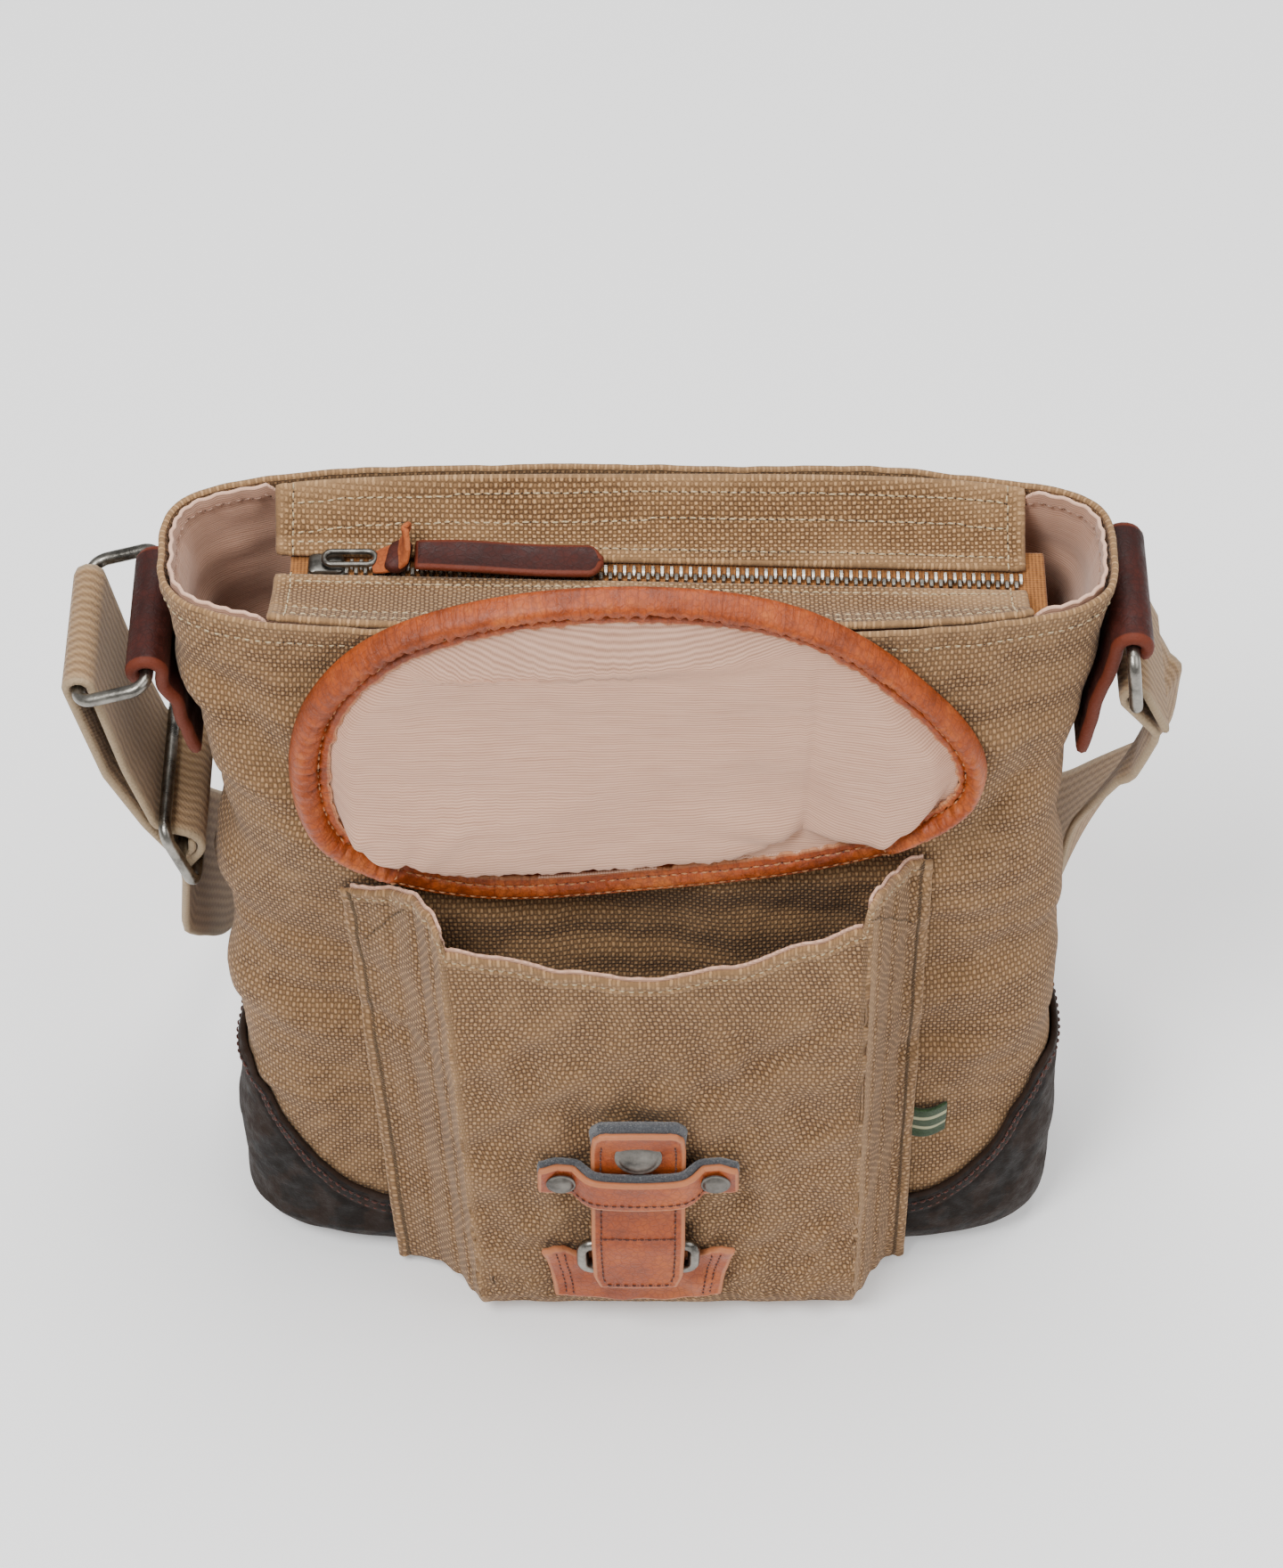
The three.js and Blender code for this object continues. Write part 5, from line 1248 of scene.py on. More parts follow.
def zip_puller():
    middle = vec(SLIDER_X + PULLER_LENGTH * 0.42, zip_y(SLIDER_X), SLIDER_TOP + GAP + PULLER_WIRE / 2)
    long, wide = PULLER_LENGTH - PULLER_WIRE, PULLER_WIDTH - PULLER_WIRE
    loop = rounded_loop(middle, X_AXIS, Y_AXIS, long, wide, 2.4, 8, 8)
    sections = wire_sections(loop, PULLER_WIRE / 2, Z_AXIS, True, 12)
    return swept("puller_wire", sections, GUNMETAL_LOOK, loop=True)


place(zip_puller(), "metal", "zip_puller")

PULL_START = SLIDER_X + PULLER_LENGTH * 0.92 + GAP
PULL_Z = SLIDER_TOP + GAP + PULLER_WIRE / 2


def pull_strap():
    start = PULL_START + KNOT_LENGTH + 2 * GAP
    share, along = np.meshgrid(np.linspace(-1, 1, 15), np.linspace(0, 1, 70), indexing="ij")
    x = start + PULL_LENGTH * along
    end = np.sqrt(clamp(1 - clamp((along - 0.93) / 0.07) ** 2, 0.05, 1))
    y = zip_y(x) + PULL_WIDTH / 2 * share * mix(0.92, 1, smooth(along * 4)) * end
    bend = 1.2 * (1 - along) + 0.6 + 0.35 * np.sin(along * 7) + 0.4 * share ** 2
    grid = np.stack([x, y, PULL_Z + bend], axis=-1)
    wear = clamp(np.abs(share) ** 6 * 0.5 + smooth((along - 0.96) / 0.04) * 0.4)
    return slab("pull_leather", grid, PULL, BURGUNDY_LOOK, face=-1.0, wear=wear)


# The knot's leaf: its path from the puller, and half its width along it as a share of the pull's width
LEAF_PATH = ((-1.5, 0, -0.6), (1.0, 0, 0.4), (3.4, 0, 1.4), (5.6, 0.2, 2.6), (7.4, 0.8, 5.2), (8.0, 1.4, 8.6),
             (7.6, 1.8, 11.4))
LEAF_WIDTHS = (0.34, 0.42, 0.46, 0.5, 0.62, 0.5, 0.12)


def pull_knot():
    """The strap's narrow end: a fold through the puller, then a leaf that stands up and leans over."""
    middle_y = zip_y(PULL_START)
    spine = catmull(LEAF_PATH, 60) + vec(PULL_START, middle_y, PULL_Z)
    wide = np.interp(np.linspace(0, 1, 60), np.linspace(0, 1, len(LEAF_WIDTHS)), LEAF_WIDTHS) * PULL_WIDTH
    share = np.linspace(-1, 1, 17)
    run = unit(np.gradient(spine, axis=0))
    grid = spine[:, None] + Y_AXIS * (share[None] * wide[:, None])[..., None]
    cup = np.cross(Y_AXIS, run)
    grid = grid + cup[:, None] * (0.9 * share[None] ** 2)[..., None]
    wear = np.broadcast_to(clamp(np.abs(share) ** 4 * 0.6 + 0.2), grid.shape[:2])
    leaf = slab("knot_leaf", grid, PULL * 0.75, SUEDE_LOOK, wear=wear)
    angle = np.linspace(0, 2 * math.pi, 30, endpoint=False)
    sections = []
    for along in np.linspace(0, 1, 16):
        swell = 0.72 + 0.34 * math.sin(math.pi * along) ** 0.6
        x = np.full(30, PULL_START + 2.6 + 6.4 * along) + 0.9 * np.cos(angle)
        y = middle_y + PULL_WIDTH * 0.56 * swell * squared(np.cos(angle), 0.7)
        z = PULL_Z + 1.2 + PULL * 1.15 * swell * squared(np.sin(angle), 0.8)
        sections.append(np.stack([x, y, z], axis=1))
    wrap = swept("knot_wrap", np.array(sections), BURGUNDY_LOOK)
    return joined("knot_leather", [wrap, leaf])


place(pull_strap(), "burgundy_leather", "pull_strap")
place(pull_knot(), "burgundy_leather", "pull_knot")


# The front pocket

POCKET_FOLD = Waves(21, 24, stretch=0.7)
POCKET_RIB = Waves(23, 11, stretch=0.35)
# Where the front turns into its bellows, as shares across; the hem's and the sides' rows of stitches, from
# the edge; and the short row across each top corner, as shares across from the side and up
POCKET_CORNERS = (0.172, 0.9)
POCKET_HEM_ROW = 2.9
POCKET_SIDE_ROW = 3.0
CORNER_ROW_ACROSS = (0.03, 0.105)
CORNER_ROW_RISE = (0.885, 0.972)


def pocket_point(across, rise):
    across, rise = np.broadcast_arrays(np.asarray(across, float), np.asarray(rise, float))
    narrow = mix(0.94, 1, rise)
    height = POCKET_HEIGHT * column(POCKET_OUTLINE, "edge", across) - POCKET_BOTTOM
    z = POCKET_BOTTOM + height * rise
    stand = column(POCKET_OUTLINE, "stand", across) * column(POCKET_RISE, "depth", rise)
    x = POCKET_MIDDLE_X + POCKET_LEAN * (1 - rise) + POCKET_WIDTH * (across - 0.5) * narrow
    sewn = pocket_ground_y(x, z) - GAP - POCKET
    y = mix(sewn, front_y(z) - POCKET_DEPTH - POCKET, stand)
    free = smooth((stand - 0.5) * 2)
    crease = POCKET_RIB(x, z) * smooth((0.5 - rise) * 3)
    corner = sum(bell(across - share, 0.008) for share in POCKET_CORNERS)
    calm = smooth(rise * 12) * (1 - 0.93 * smooth((rise - 0.75) / 0.2))
    y = y - free * calm * (0.7 * POCKET_FOLD(x, z) + 0.3 * crease) - free * 0.55 * corner
    return np.stack([x, y, z], axis=-1)


POCKET_ACROSS = np.unique(np.concatenate([
    np.linspace(0, 0.115, 30), np.linspace(0.115, 0.2, 36), np.linspace(0.2, 0.84, 72),
    np.linspace(0.84, 0.93, 36), np.linspace(0.93, 1, 20)]))
POCKET_RISES = np.unique(np.concatenate([
    np.linspace(0, 0.02, 10), np.linspace(0.02, 0.1, 14), np.linspace(0.1, 0.96, 74),
    np.linspace(0.96, 1, 12)]))


def front_pocket():
    rise, across = np.meshgrid(POCKET_RISES, POCKET_ACROSS, indexing="ij")
    outer = pocket_point(across, rise)
    side_run = lengths_along(outer, 1)
    from_side = np.minimum(side_run, side_run[:, -1:] - side_run)
    from_top = (1 - rise) * (POCKET_HEIGHT - POCKET_BOTTOM)
    normal = normals_of(outer)
    edge_seam = bell(from_side - 1.0, 0.45) * 0.5 - bell(from_side - POCKET_SIDE_ROW, 1.1) * 0.35
    hem = smooth((5.2 - from_top) / 0.8)
    top_row = bell(from_top - POCKET_HEM_ROW, 0.55)
    bumps = np.sin(side_run * 2 * math.pi / 1.95) * bell(from_top - 1.2, 1.0)
    relief = edge_seam + 0.55 * hem - 0.5 * top_row + 0.16 * bumps
    grid = outer - normal * (POCKET / 2 - relief[..., None])
    nearest = pocket_ground_y(grid[..., 0], grid[..., 2]) - GAP - POCKET / 2
    grid[..., 1] = np.minimum(grid[..., 1], nearest)
    corner = sum(bell(across - share, 0.009) for share in POCKET_CORNERS)
    ridge = smooth(0.4 + 0.25 * POCKET_FOLD(grid[..., 0], grid[..., 2]))
    wear = clamp(0.75 * corner + 0.55 * hem + 0.25 * ridge + 0.5 * bell(from_side - 1.0, 0.7))
    made = slab("pocket_cloth", grid, POCKET, CANVAS_LOOK, u=side_run, v=outer[..., 2], wear=wear)
    up = normals_of(grid)
    face_line = grid + up * (POCKET / 2 + 0.02)
    hem_row = int(np.argmin(np.abs(from_top[:, 0] - POCKET_HEM_ROW)))
    threads = [(face_line[hem_row, 4:-4], up[hem_row, 4:-4], POCKET_HEM_SEWING)]
    dark = []
    for sign in (1, -1):
        row_at = POCKET_SIDE_ROW if sign > 0 else side_run[:, -1:] - POCKET_SIDE_ROW
        cols = np.argmin(np.abs(side_run - row_at), axis=1)
        rows = np.arange(4, len(POCKET_RISES))
        dark.append((face_line[rows, cols[rows]], up[rows, cols[rows]], overcast(sign)))
        spot = 0.0 if sign > 0 else 1.0
        share = np.linspace(0, 1, 14)
        line = pocket_point(spot + sign * mix(*CORNER_ROW_ACROSS, share), mix(*CORNER_ROW_RISE, share))
        threads.append((line + vec(0, -0.3, 0), vec(-0.35 * sign, -0.94, 0), POCKET_CORNER_SEWING))
    row_piece("pocket_stitches", threads)
    row_piece("pocket_seam_stitches", dark)
    rim = grid[-1] - up[-1] * (POCKET / 2 + 0.15) + vec(0, 0, 0.55)
    rim = resampled(rim[3:-3], 1.2)
    tall = np.stack([rim + vec(0, 0, -3.2), rim + vec(0, 0, -1.0), rim + vec(0, 0, 0.9)])
    tall = tall + 0.12 * np.sin(np.arange(len(rim)) * 1.7)[None, :, None] * vec(0, 0, 1)
    place(slab("pocket_lining_edge", tall, 0.9, LINING_LOOK, v=tall[..., 2]), "lining")
    return made


place(front_pocket(), "canvas", "front_pocket")


# The folded-up flap

FLAP_MIDDLE_Z = FLAP_BOTTOM + FLAP_HEIGHT / 2


def lean_y(z):
    low = front_y(np.minimum(z, HEIGHT))
    slope = (front_y(HEIGHT) - front_y(HEIGHT * 0.9)) / (HEIGHT * 0.1)
    return low + np.maximum(0, z - HEIGHT) * slope - GAP * 2


def tilted(points, degrees):
    turn = math.radians(degrees)
    return points @ np.array([[math.cos(turn), math.sin(turn)], [-math.sin(turn), math.cos(turn)]])


FLAP_POINTS = [(x * FLAP_WIDTH / 2, z * FLAP_HEIGHT / 2) for x, z in FLAP_OUTLINE]
FLAP_EDGE = tilted(closed_curve(FLAP_POINTS, FLAP_COUNT), FLAP_TILT)
FLAP_RUN = np.linspace(0, 1, FLAP_COUNT, endpoint=False) * np.linalg.norm(
    np.roll(FLAP_EDGE, -1, axis=0) - FLAP_EDGE, axis=1).sum()
along_edge = np.roll(FLAP_EDGE, -4, axis=0) - np.roll(FLAP_EDGE, 4, axis=0)
FLAP_IN = unit(np.stack([-along_edge[:, 1], along_edge[:, 0]], axis=1))
# Where the straight lower band runs instead of the round rim
FLAP_BAND = smooth((FLAP_IN[:, 1] - 0.7) / 0.2) * smooth((79 - np.abs(FLAP_EDGE[:, 0])) / 6)
FLAP_RIM = 11 + 1.2 * clamp(FLAP_IN[:, 0]) - 2.2 * clamp(-FLAP_IN[:, 0]) - 0.8 * FLAP_BAND


def flap_at(x, z, lift):
    z = FLAP_MIDDLE_Z + z
    return np.stack([x + 1, lean_y(z) - lift, z], axis=-1)


def rim_points(inward, lift):
    spot = FLAP_EDGE + FLAP_IN * np.broadcast_to(np.asarray(inward, float), (FLAP_COUNT,))[:, None]
    return flap_at(spot[:, 0], spot[:, 1], lift)


# The rim's and the band's rows of stitches, as shares from the raw inner edge outwards
RIM_ROW = 0.27
BAND_ROW = 0.76


def rim_lift(t):
    """The rim's face from its raw inner edge, t 0, over the stitched groove to its outer edge, t 1."""
    past = clamp((t - RIM_ROW) / (1 - RIM_ROW))
    dip = 0.55 * bell(t - RIM_ROW, 0.035)
    round_rim = 4.5 + 0.35 * math.sin(math.pi * min(1, t / RIM_ROW)) + 3.3 * math.sin(math.pi * past) ** 0.8 \
        - 3.0 * past ** 6 - dip
    band = 4.5 + 1.5 * math.sin(math.pi * t) ** 0.7 - 2.8 * clamp((t - 0.8) / 0.2) ** 3 - dip \
        - 0.5 * bell(t - BAND_ROW, 0.035)
    wrinkle = 0.42 * bell(t - 0.36, 0.17) + 0.16 * math.sin(math.pi * t)
    wrinkle = wrinkle * (1 - 0.6 * FLAP_BAND)
    return mix(round_rim, band, FLAP_BAND) + wrinkle * RIM_WAVES(FLAP_RUN, t * 4) \
        + 0.35 * SOFT(FLAP_RUN, t * 8) * math.sin(math.pi * t)


RIM_WAVES = Waves(31, 2.9, count=20)
RAW_EDGE = 0.35 * Waves(33, 4.5)(FLAP_RUN, 0)


def flap_leather():
    inner = FLAP_EDGE + FLAP_IN * (FLAP_RIM * 0.88)[:, None]
    rows = [flap_at(inner[:, 0] * k, inner[:, 1] * k, 1.6) for k in (0.1, 0.6, 0.95)]
    rows.append(rim_points(FLAP_RIM * 0.88, 1.8))
    rows.append(rim_points(FLAP_RIM * 0.9, 3.75))
    v_rows, wear_rows = [5, 40, 55, 58, 59], [0, 0, 0, 0, 0.6]
    for t in np.linspace(0, 1, 34):
        ragged = RAW_EDGE * smooth((0.12 - t) / 0.12)
        if t == 0:
            rows.append(rim_points(FLAP_RIM + ragged, 3.8))
            v_rows.append(59.5)
            wear_rows.append(1.0)
        rows.append(rim_points(FLAP_RIM * (1 - t) + ragged, rim_lift(t)))
        v_rows.append(60 + t * 12)
        wear_rows.append(0.95 if t < 0.03 else 0.5 if t < 0.07 else 0.0)
    rows.append(rim_points(0.5, 0.7))
    rows.append(rim_points(3.0, 0.3))
    rows += [flap_at(inner[:, 0] * k, inner[:, 1] * k, 0.2) for k in (0.95, 0.6, 0.1)]
    v_rows += [73, 76, 90, 120, 150]
    wear_rows += [0.0] * 5
    rows = np.array(rows)
    u = np.broadcast_to(FLAP_RUN, rows.shape[:2])
    v = np.repeat(np.array(v_rows, float)[:, None], rows.shape[1], axis=1)
    wear = np.repeat(np.array(wear_rows)[:, None], rows.shape[1], axis=1)
    count = rows.shape[1]
    faces = grid_faces(*rows.shape[:2], True)
    last = (len(rows) - 1) * count + np.arange(count)
    nxt = (np.arange(count) + 1) % count
    faces = np.concatenate([faces, np.stack([last, last[nxt], nxt, np.arange(count)], axis=1)])
    cloth = grid_cloth(*rows.shape[:2], u, v, wear, True)
    cloth = np.concatenate([cloth, np.zeros((count, 4, 3))])
    made = mesh_object("flap_rim", rows.reshape(-1, 3), faces.tolist(), RIM_LOOK, cloth.reshape(-1, 3),
                       sharp=70)
    up = vec(0, -1, 0)
    at = [rim_points(FLAP_RIM * (1 - t), rim_lift(t) + 0.1) for t in (RIM_ROW, BAND_ROW)]
    band = np.nonzero(FLAP_BAND > 0.5)[0]
    threads = [(np.vstack([at[0], at[0][:1]]), up, FLAP_SEWING),
               (at[1][band.min():band.max()], up, FLAP_SEWING)]
    for k in (band.min(), band.max()):
        joint = [rim_points(FLAP_RIM * (1 - t), rim_lift(t) + 0.1)[k] for t in (0.3, 0.42, 0.54, 0.66, 0.76)]
        threads.append((np.array(joint), up, FLAP_JOINT_SEWING))
    row_piece("flap_stitches", threads)
    return made


place(flap_leather(), "tan_leather", "flap_leather")

HEM_LINE = table(
    "x z",
    (-100, 216),
    (-81, 216),
    (-73, 211.2),
    (-65, 210.7),
    (-62, 208.6),
    (-50, 206.8),
    (-34, 207.6),
    (-28, 207.0),
    (-12, 209.8),
    (30, 211.8),
    (68, 216.4),
    (84, 221),
    (100, 226),
)
# Where the lining is caught: x, z and size
DIMPLES = ((-86, 226.5, 5.0), (80, 227.5, 4.5))
# Its creases: x, z, slope in degrees, length, breadth and height
CREASES = (
    (-70, 222, 62, 9, 2.2, -1.6),
    (-58, 232, 40, 12, 4, 1.4),
    (40, 224, 160, 14, 2.2, -1.0),
    (50, 262, 88, 30, 1.3, 0.9),
    (52.3, 262, 88, 28, 1.5, -0.7),
    (50, 228, 70, 9, 3, -1.8),
    (66, 228, 30, 9, 2.0, -1.0),
    (-30, 240, 15, 20, 5, 0.8),
    (20, 236, 170, 22, 5, 0.8),
)


def hem_z(x):
    return np.interp(x, HEM_LINE["x"], HEM_LINE["z"]) + 0.35 * np.sin(x * 0.8) + 0.3 * np.sin(x * 1.9 + 1)


# The lining's fold above its hem: run up the cloth from the hem, height above it and stand
LINING_FOLD = table(
    "run height stand",
    (0, 0, 2.8),
    (8, 8, 3.2),
    (9.5, 8.6, 4.2),
    (11, 7.4, 6.0),
    (12.5, 6.2, 7.8),
    (14, 6.0, 9.2),
    (16, 7.6, 10.0),
    (20, 13, 9.9),
    (42, 39, 6.6),
    (78, 78, 3.4),
)
# Along the flap: how strong the fold is and how tall the band below it is
FOLD_ALONG = table(
    "x strength band",
    (-98, 0.2, 0.7),
    (-86, 0.9, 0.5),
    (-72, 1.15, 0.85),
    (-52, 1.2, 1.0),
    (-30, 1.0, 0.8),
    (-5, 0.85, 0.45),
    (25, 0.75, 0.35),
    (42, 0.5, 0.7),
    (50, 0.28, 1.15),
    (60, 0.7, 0.8),
    (74, 1.0, 0.3),
    (84, 0.7, 0.2),
    (98, 0.1, 0.5),
)


def lining_dents(x, z):
    """Soft unevenness, the two dimples where the cloth is caught, and the creases that run from them."""
    lift = 0.4 * Waves(41, 34, stretch=1.6)(x, z) + 0.14 * Waves(43, 13, stretch=2.2)(x, z)
    for px, pz, size in DIMPLES:
        dx, dz = x - px, z - pz
        far = np.hypot(dx / size, dz / (size * 0.8))
        spokes = np.cos(5 * np.arctan2(dz, dx) + 0.6)
        lift = lift - 5.0 * bell(far, 0.7) + 1.3 * bell(far - 1.7, 0.8)
        lift = lift + 0.6 * spokes * bell(far - 1.6, 1.1)
    for fx, fz, slope, long, wide, tall in CREASES:
        turn = math.radians(slope)
        along = (x - fx) * math.cos(turn) + (z - fz) * math.sin(turn)
        across = (z - fz) * math.cos(turn) - (x - fx) * math.sin(turn)
        lift = lift + tall * np.exp(-(along / long) ** 2 - (across / wide) ** 2)
    return lift


def softened(grid, times):
    for _ in range(times):
        grid[1:-1] = (grid[:-2] + 2 * grid[1:-1] + grid[2:]) / 4
    return grid


def flap_lining():
    bound = FLAP_EDGE + FLAP_IN * (FLAP_RIM * 0.93)[:, None]
    bound[:, 0] += 1
    left, right = bound[:, 0].argmin(), bound[:, 0].argmax()
    ids = np.arange(FLAP_COUNT)
    upper = (ids - right) % FLAP_COUNT <= (left - right) % FLAP_COUNT
    tops, lows = bound[upper], bound[~upper]
    tops, lows = tops[np.argsort(tops[:, 0])], lows[np.argsort(lows[:, 0])]
    middle, half = (bound[left, 0] + bound[right, 0]) / 2, (bound[right, 0] - bound[left, 0]) / 2
    spread = np.linspace(0.035, 0.965, 174)
    x = middle - half * np.cos(math.pi * spread)
    high = np.interp(x, tops[:, 0], tops[:, 1]) + FLAP_MIDDLE_Z
    low = np.interp(x, lows[:, 0], lows[:, 1]) + FLAP_MIDDLE_Z
    low = np.maximum(low, np.minimum(hem_z(x), high - 6))
    share = np.linspace(0, 1, 132)[:, None] ** 1.5
    flat_z = mix(low[None], high[None], share)
    x = np.broadcast_to(x, flat_z.shape)
    ends = smooth((x - bound[left, 0]) / 9) * smooth((bound[right, 0] - x) / 9)
    near = smooth((high - flat_z) / 8) * ends
    strength = np.interp(x, FOLD_ALONG["x"], FOLD_ALONG["strength"]) * near
    shift = 8 * clamp(1 - np.interp(x, FOLD_ALONG["x"], FOLD_ALONG["band"]))
    run = flat_z - low[None]
    height = np.interp(run + shift, LINING_FOLD["run"], LINING_FOLD["height"]) - shift
    stand = np.interp(run + shift, LINING_FOLD["run"], LINING_FOLD["stand"])
    z = softened(flat_z + strength * (height - run), 2)
    lift = softened(2.8 + strength * (stand - 2.8), 2) + near * lining_dents(x, flat_z)
    grid = np.stack([x, lean_y(z) - lift, z], axis=-1)
    made = slab("flap_cloth", grid, LINING, LINING_LOOK, u=x, v=flat_z)
    hem = grid[0][14:-14] + vec(0, -0.45, 0.1)
    tube = wire_sections(resampled(hem, 0.9), 0.55, vec(0, -1, 0.2), False, 8)
    place(swept("flap_hem_piping", tube, LINING_LOOK), "lining")
    slit = np.nonzero((FLAP_BAND > 0.5) & (FLAP_EDGE[:, 0] > -30) & (FLAP_EDGE[:, 0] < 7))[0]
    edge = rim_points(FLAP_RIM + 0.2, 4.5)[slit]
    tube = wire_sections(resampled(edge, 0.9), 0.5, vec(0, -1, 0.2), False, 8)
    place(swept("flap_slit_piping", tube, LINING_LOOK), "lining")
    return made


place(flap_lining(), "lining", "flap_lining")


# The clasp

def plain_face_y(z):
    rise = clamp((np.asarray(z, float) - POCKET_BOTTOM) / (POCKET_HEIGHT * 0.87))
    height = POCKET_HEIGHT * 0.87 - POCKET_BOTTOM
    level = POCKET_BOTTOM + height * rise
    stand = column(POCKET_RISE, "depth", rise)
    sewn = pocket_ground_y(3.0, level) - GAP - POCKET
    return mix(sewn, front_y(level) - POCKET_DEPTH - POCKET, stand)


PATCH_Y = float(plain_face_y(PATCH_BOTTOM + PATCH_HEIGHT)) - GAP * 2
CLASP_LAYER_Y = PATCH_Y - CLASP_LEATHER - GAP
RING_Z = PATCH_BOTTOM + PATCH_HEIGHT - 1
PATCH_SIDE_ROWS = (3.2, 6.4)


def clasp_patch():
    across, up = np.meshgrid(np.linspace(-1, 1, 91), np.linspace(0, 1, 40), indexing="xy")
    half, low = PATCH_WIDTH / 2, PATCH_WIDTH / 2 - 4
    x = across * mix(low, half, up ** 1.4)
    dip = 5 * (1 - smooth((np.abs(across) - 0.6) / 0.3))
    bottom = 1.5 * smooth((np.abs(across) - 0.75) / 0.25) - 0.6 * np.cos(across * 3)
    z = PATCH_BOTTOM + bottom * (1 - up) + (PATCH_HEIGHT - dip) * up
    curl = 2.6 * smooth((np.abs(across) - 0.7) / 0.3) * smooth((up - 0.66) / 0.34)
    from_side = half * (1 - np.abs(across))
    seam = sum(bell(from_side - inward, 0.6) for inward in PATCH_SIDE_ROWS)
    y = PATCH_Y - CLASP_LEATHER / 2 - curl + 0.3 * seam - 0.35 * Waves(51, 16)(x, z)
    wear = clamp(smooth((np.abs(across) - 0.965) / 0.03) + smooth((up - 0.95) / 0.04)) * 0.7
    grid = np.stack([CLASP_MIDDLE_X + x, y, z], axis=-1)
    rows = np.arange(3, 36)
    lines = []
    for sign in (-1, 1):
        for inward in PATCH_SIDE_ROWS:
            col = int(round((1 + sign * (1 - inward / half)) / 2 * (grid.shape[1] - 1)))
            line = grid[rows, col] + vec(0, -CLASP_LEATHER / 2 - 0.05, 0)
            lines.append((line, vec(0, -1, 0.1), PATCH_SEWING))
    row_piece("clasp_patch_stitches", lines)
    return slab("patch_leather", grid, CLASP_LEATHER, TAN_LOOK, wear=wear)


place(clasp_patch(), "tan_leather", "clasp_patch")


def clasp_ring():
    middle = vec(CLASP_MIDDLE_X, CLASP_LAYER_Y - CLASP_WIRE / 2, RING_Z)
    wide, tall = CLASP_RING_WIDTH - CLASP_WIRE, CLASP_RING_HEIGHT - CLASP_WIRE
    loop = rounded_loop(middle, X_AXIS, Z_AXIS, wide, tall, 3.4, 8, 10)
    return swept("ring_wire", wire_sections(loop, CLASP_WIRE / 2, Y_AXIS, True, 16), NICKEL_LOOK, loop=True)


place(clasp_ring(), "metal", "clasp_ring")

RING_STAND = 3 * GAP + CLASP_LEATHER + CLASP_WIRE - CLASP_FELT
TAB_ROWS = [
    (RING_Z - CLASP_RING_HEIGHT * 0.7, RING_STAND, 0.42),
    (RING_Z - CLASP_RING_HEIGHT * 0.4, RING_STAND, 0.48),
    (RING_Z + CLASP_RING_HEIGHT * 0.62, RING_STAND, 0.5),
    (KEEPER_BOTTOM - KEEPER_HEIGHT, 1.4, 0.5),
    (KEEPER_BOTTOM + KEEPER_HEIGHT / 2, 0.8, 0.5),
    (TAB_TOP - 13, 1.6, 0.5),
    (TAB_TOP - 3, 4.6, 0.48),
    (TAB_TOP, 5.8, 0.42),
]


def tab_layer(name, inner, thickness, rows, look, wear_edge, fatten=0.0, stitched=False):
    z_at, stand_at, half_at = (np.array(c) for c in zip(*rows))
    z = np.linspace(z_at[0], z_at[-1], 120)
    stand, half = np.interp(z, z_at, stand_at), np.interp(z, z_at, half_at)
    for _ in range(8):
        stand[1:-1] = (stand[:-2] + 2 * stand[1:-1] + stand[2:]) / 4
    thick = thickness + fatten * smooth((z - TAB_TOP + 14) / 12)
    side = np.linspace(-1, 1, 41)
    x = CLASP_MIDDLE_X + side[None] * half[:, None] * TAB_WIDTH
    edge = bell(np.abs(side) - 0.84, 0.05)[None]
    relief = -0.22 * edge if stitched else 0 * edge
    y = (plain_face_y(z) - inner - stand - thickness + thick / 2)[:, None] + 0.35 * side[None] ** 2 - relief
    crown = 0.8 * (1 - side[None] ** 2) * smooth((z[:, None] - TAB_TOP + 3) / 3)
    wear = np.broadcast_to(smooth((np.abs(side) - 0.94) / 0.06) * wear_edge, x.shape)
    grid = np.stack([x, np.broadcast_to(y, x.shape), z[:, None] + crown], axis=-1)
    if stitched:
        lines = []
        up = normals_of(grid)
        up = up * np.sign(-up[60, 20, 1])
        face = grid + up * (thickness / 2 + 0.05)
        for col in (3, -4):
            lines.append((face[5:-12, col], up[5:-12, col], TAB_SEWING))
        for level in (RING_Z - CLASP_RING_HEIGHT * 0.62, RING_Z + CLASP_RING_HEIGHT * 0.85):
            row = int(np.argmin(np.abs(z - level)))
            lines.append((face[row, 5:-5], up[row, 5:-5], TAB_SEWING))
        row_piece("clasp_tab_stitches", lines)
    return slab(name, grid, np.broadcast_to(thick[:, None], x.shape), look, wear=wear)


place(tab_layer("tab_leather", CLASP_FELT + GAP, CLASP_LEATHER, TAB_ROWS, TAN_LOOK, 0.7, stitched=True),
      "tan_leather", "clasp_tab")
place(tab_layer("tab_felt", 0, CLASP_FELT, TAB_ROWS[3:], FELT_LOOK, 0, fatten=2.2),
      "felt", "clasp_tab_backing")

KEEPER_ARCH = [(-1, 0.03), (-0.8, 0), (-0.6, 0.02), (-0.47, 0.96), (-0.34, 1.04), (0, 1.08),
               (0.34, 1.04), (0.47, 0.96), (0.6, 0.02), (0.8, 0), (1, 0.03)]
KEEPER_BASE_Y = float(plain_face_y(KEEPER_BOTTOM)) - GAP * 2
KEEPER_LIFT = CLASP_FELT + CLASP_LEATHER + 5 * GAP
KEEPER_FACE_Y = KEEPER_BASE_Y - CLASP_FELT - CLASP_LEATHER - 4 * GAP


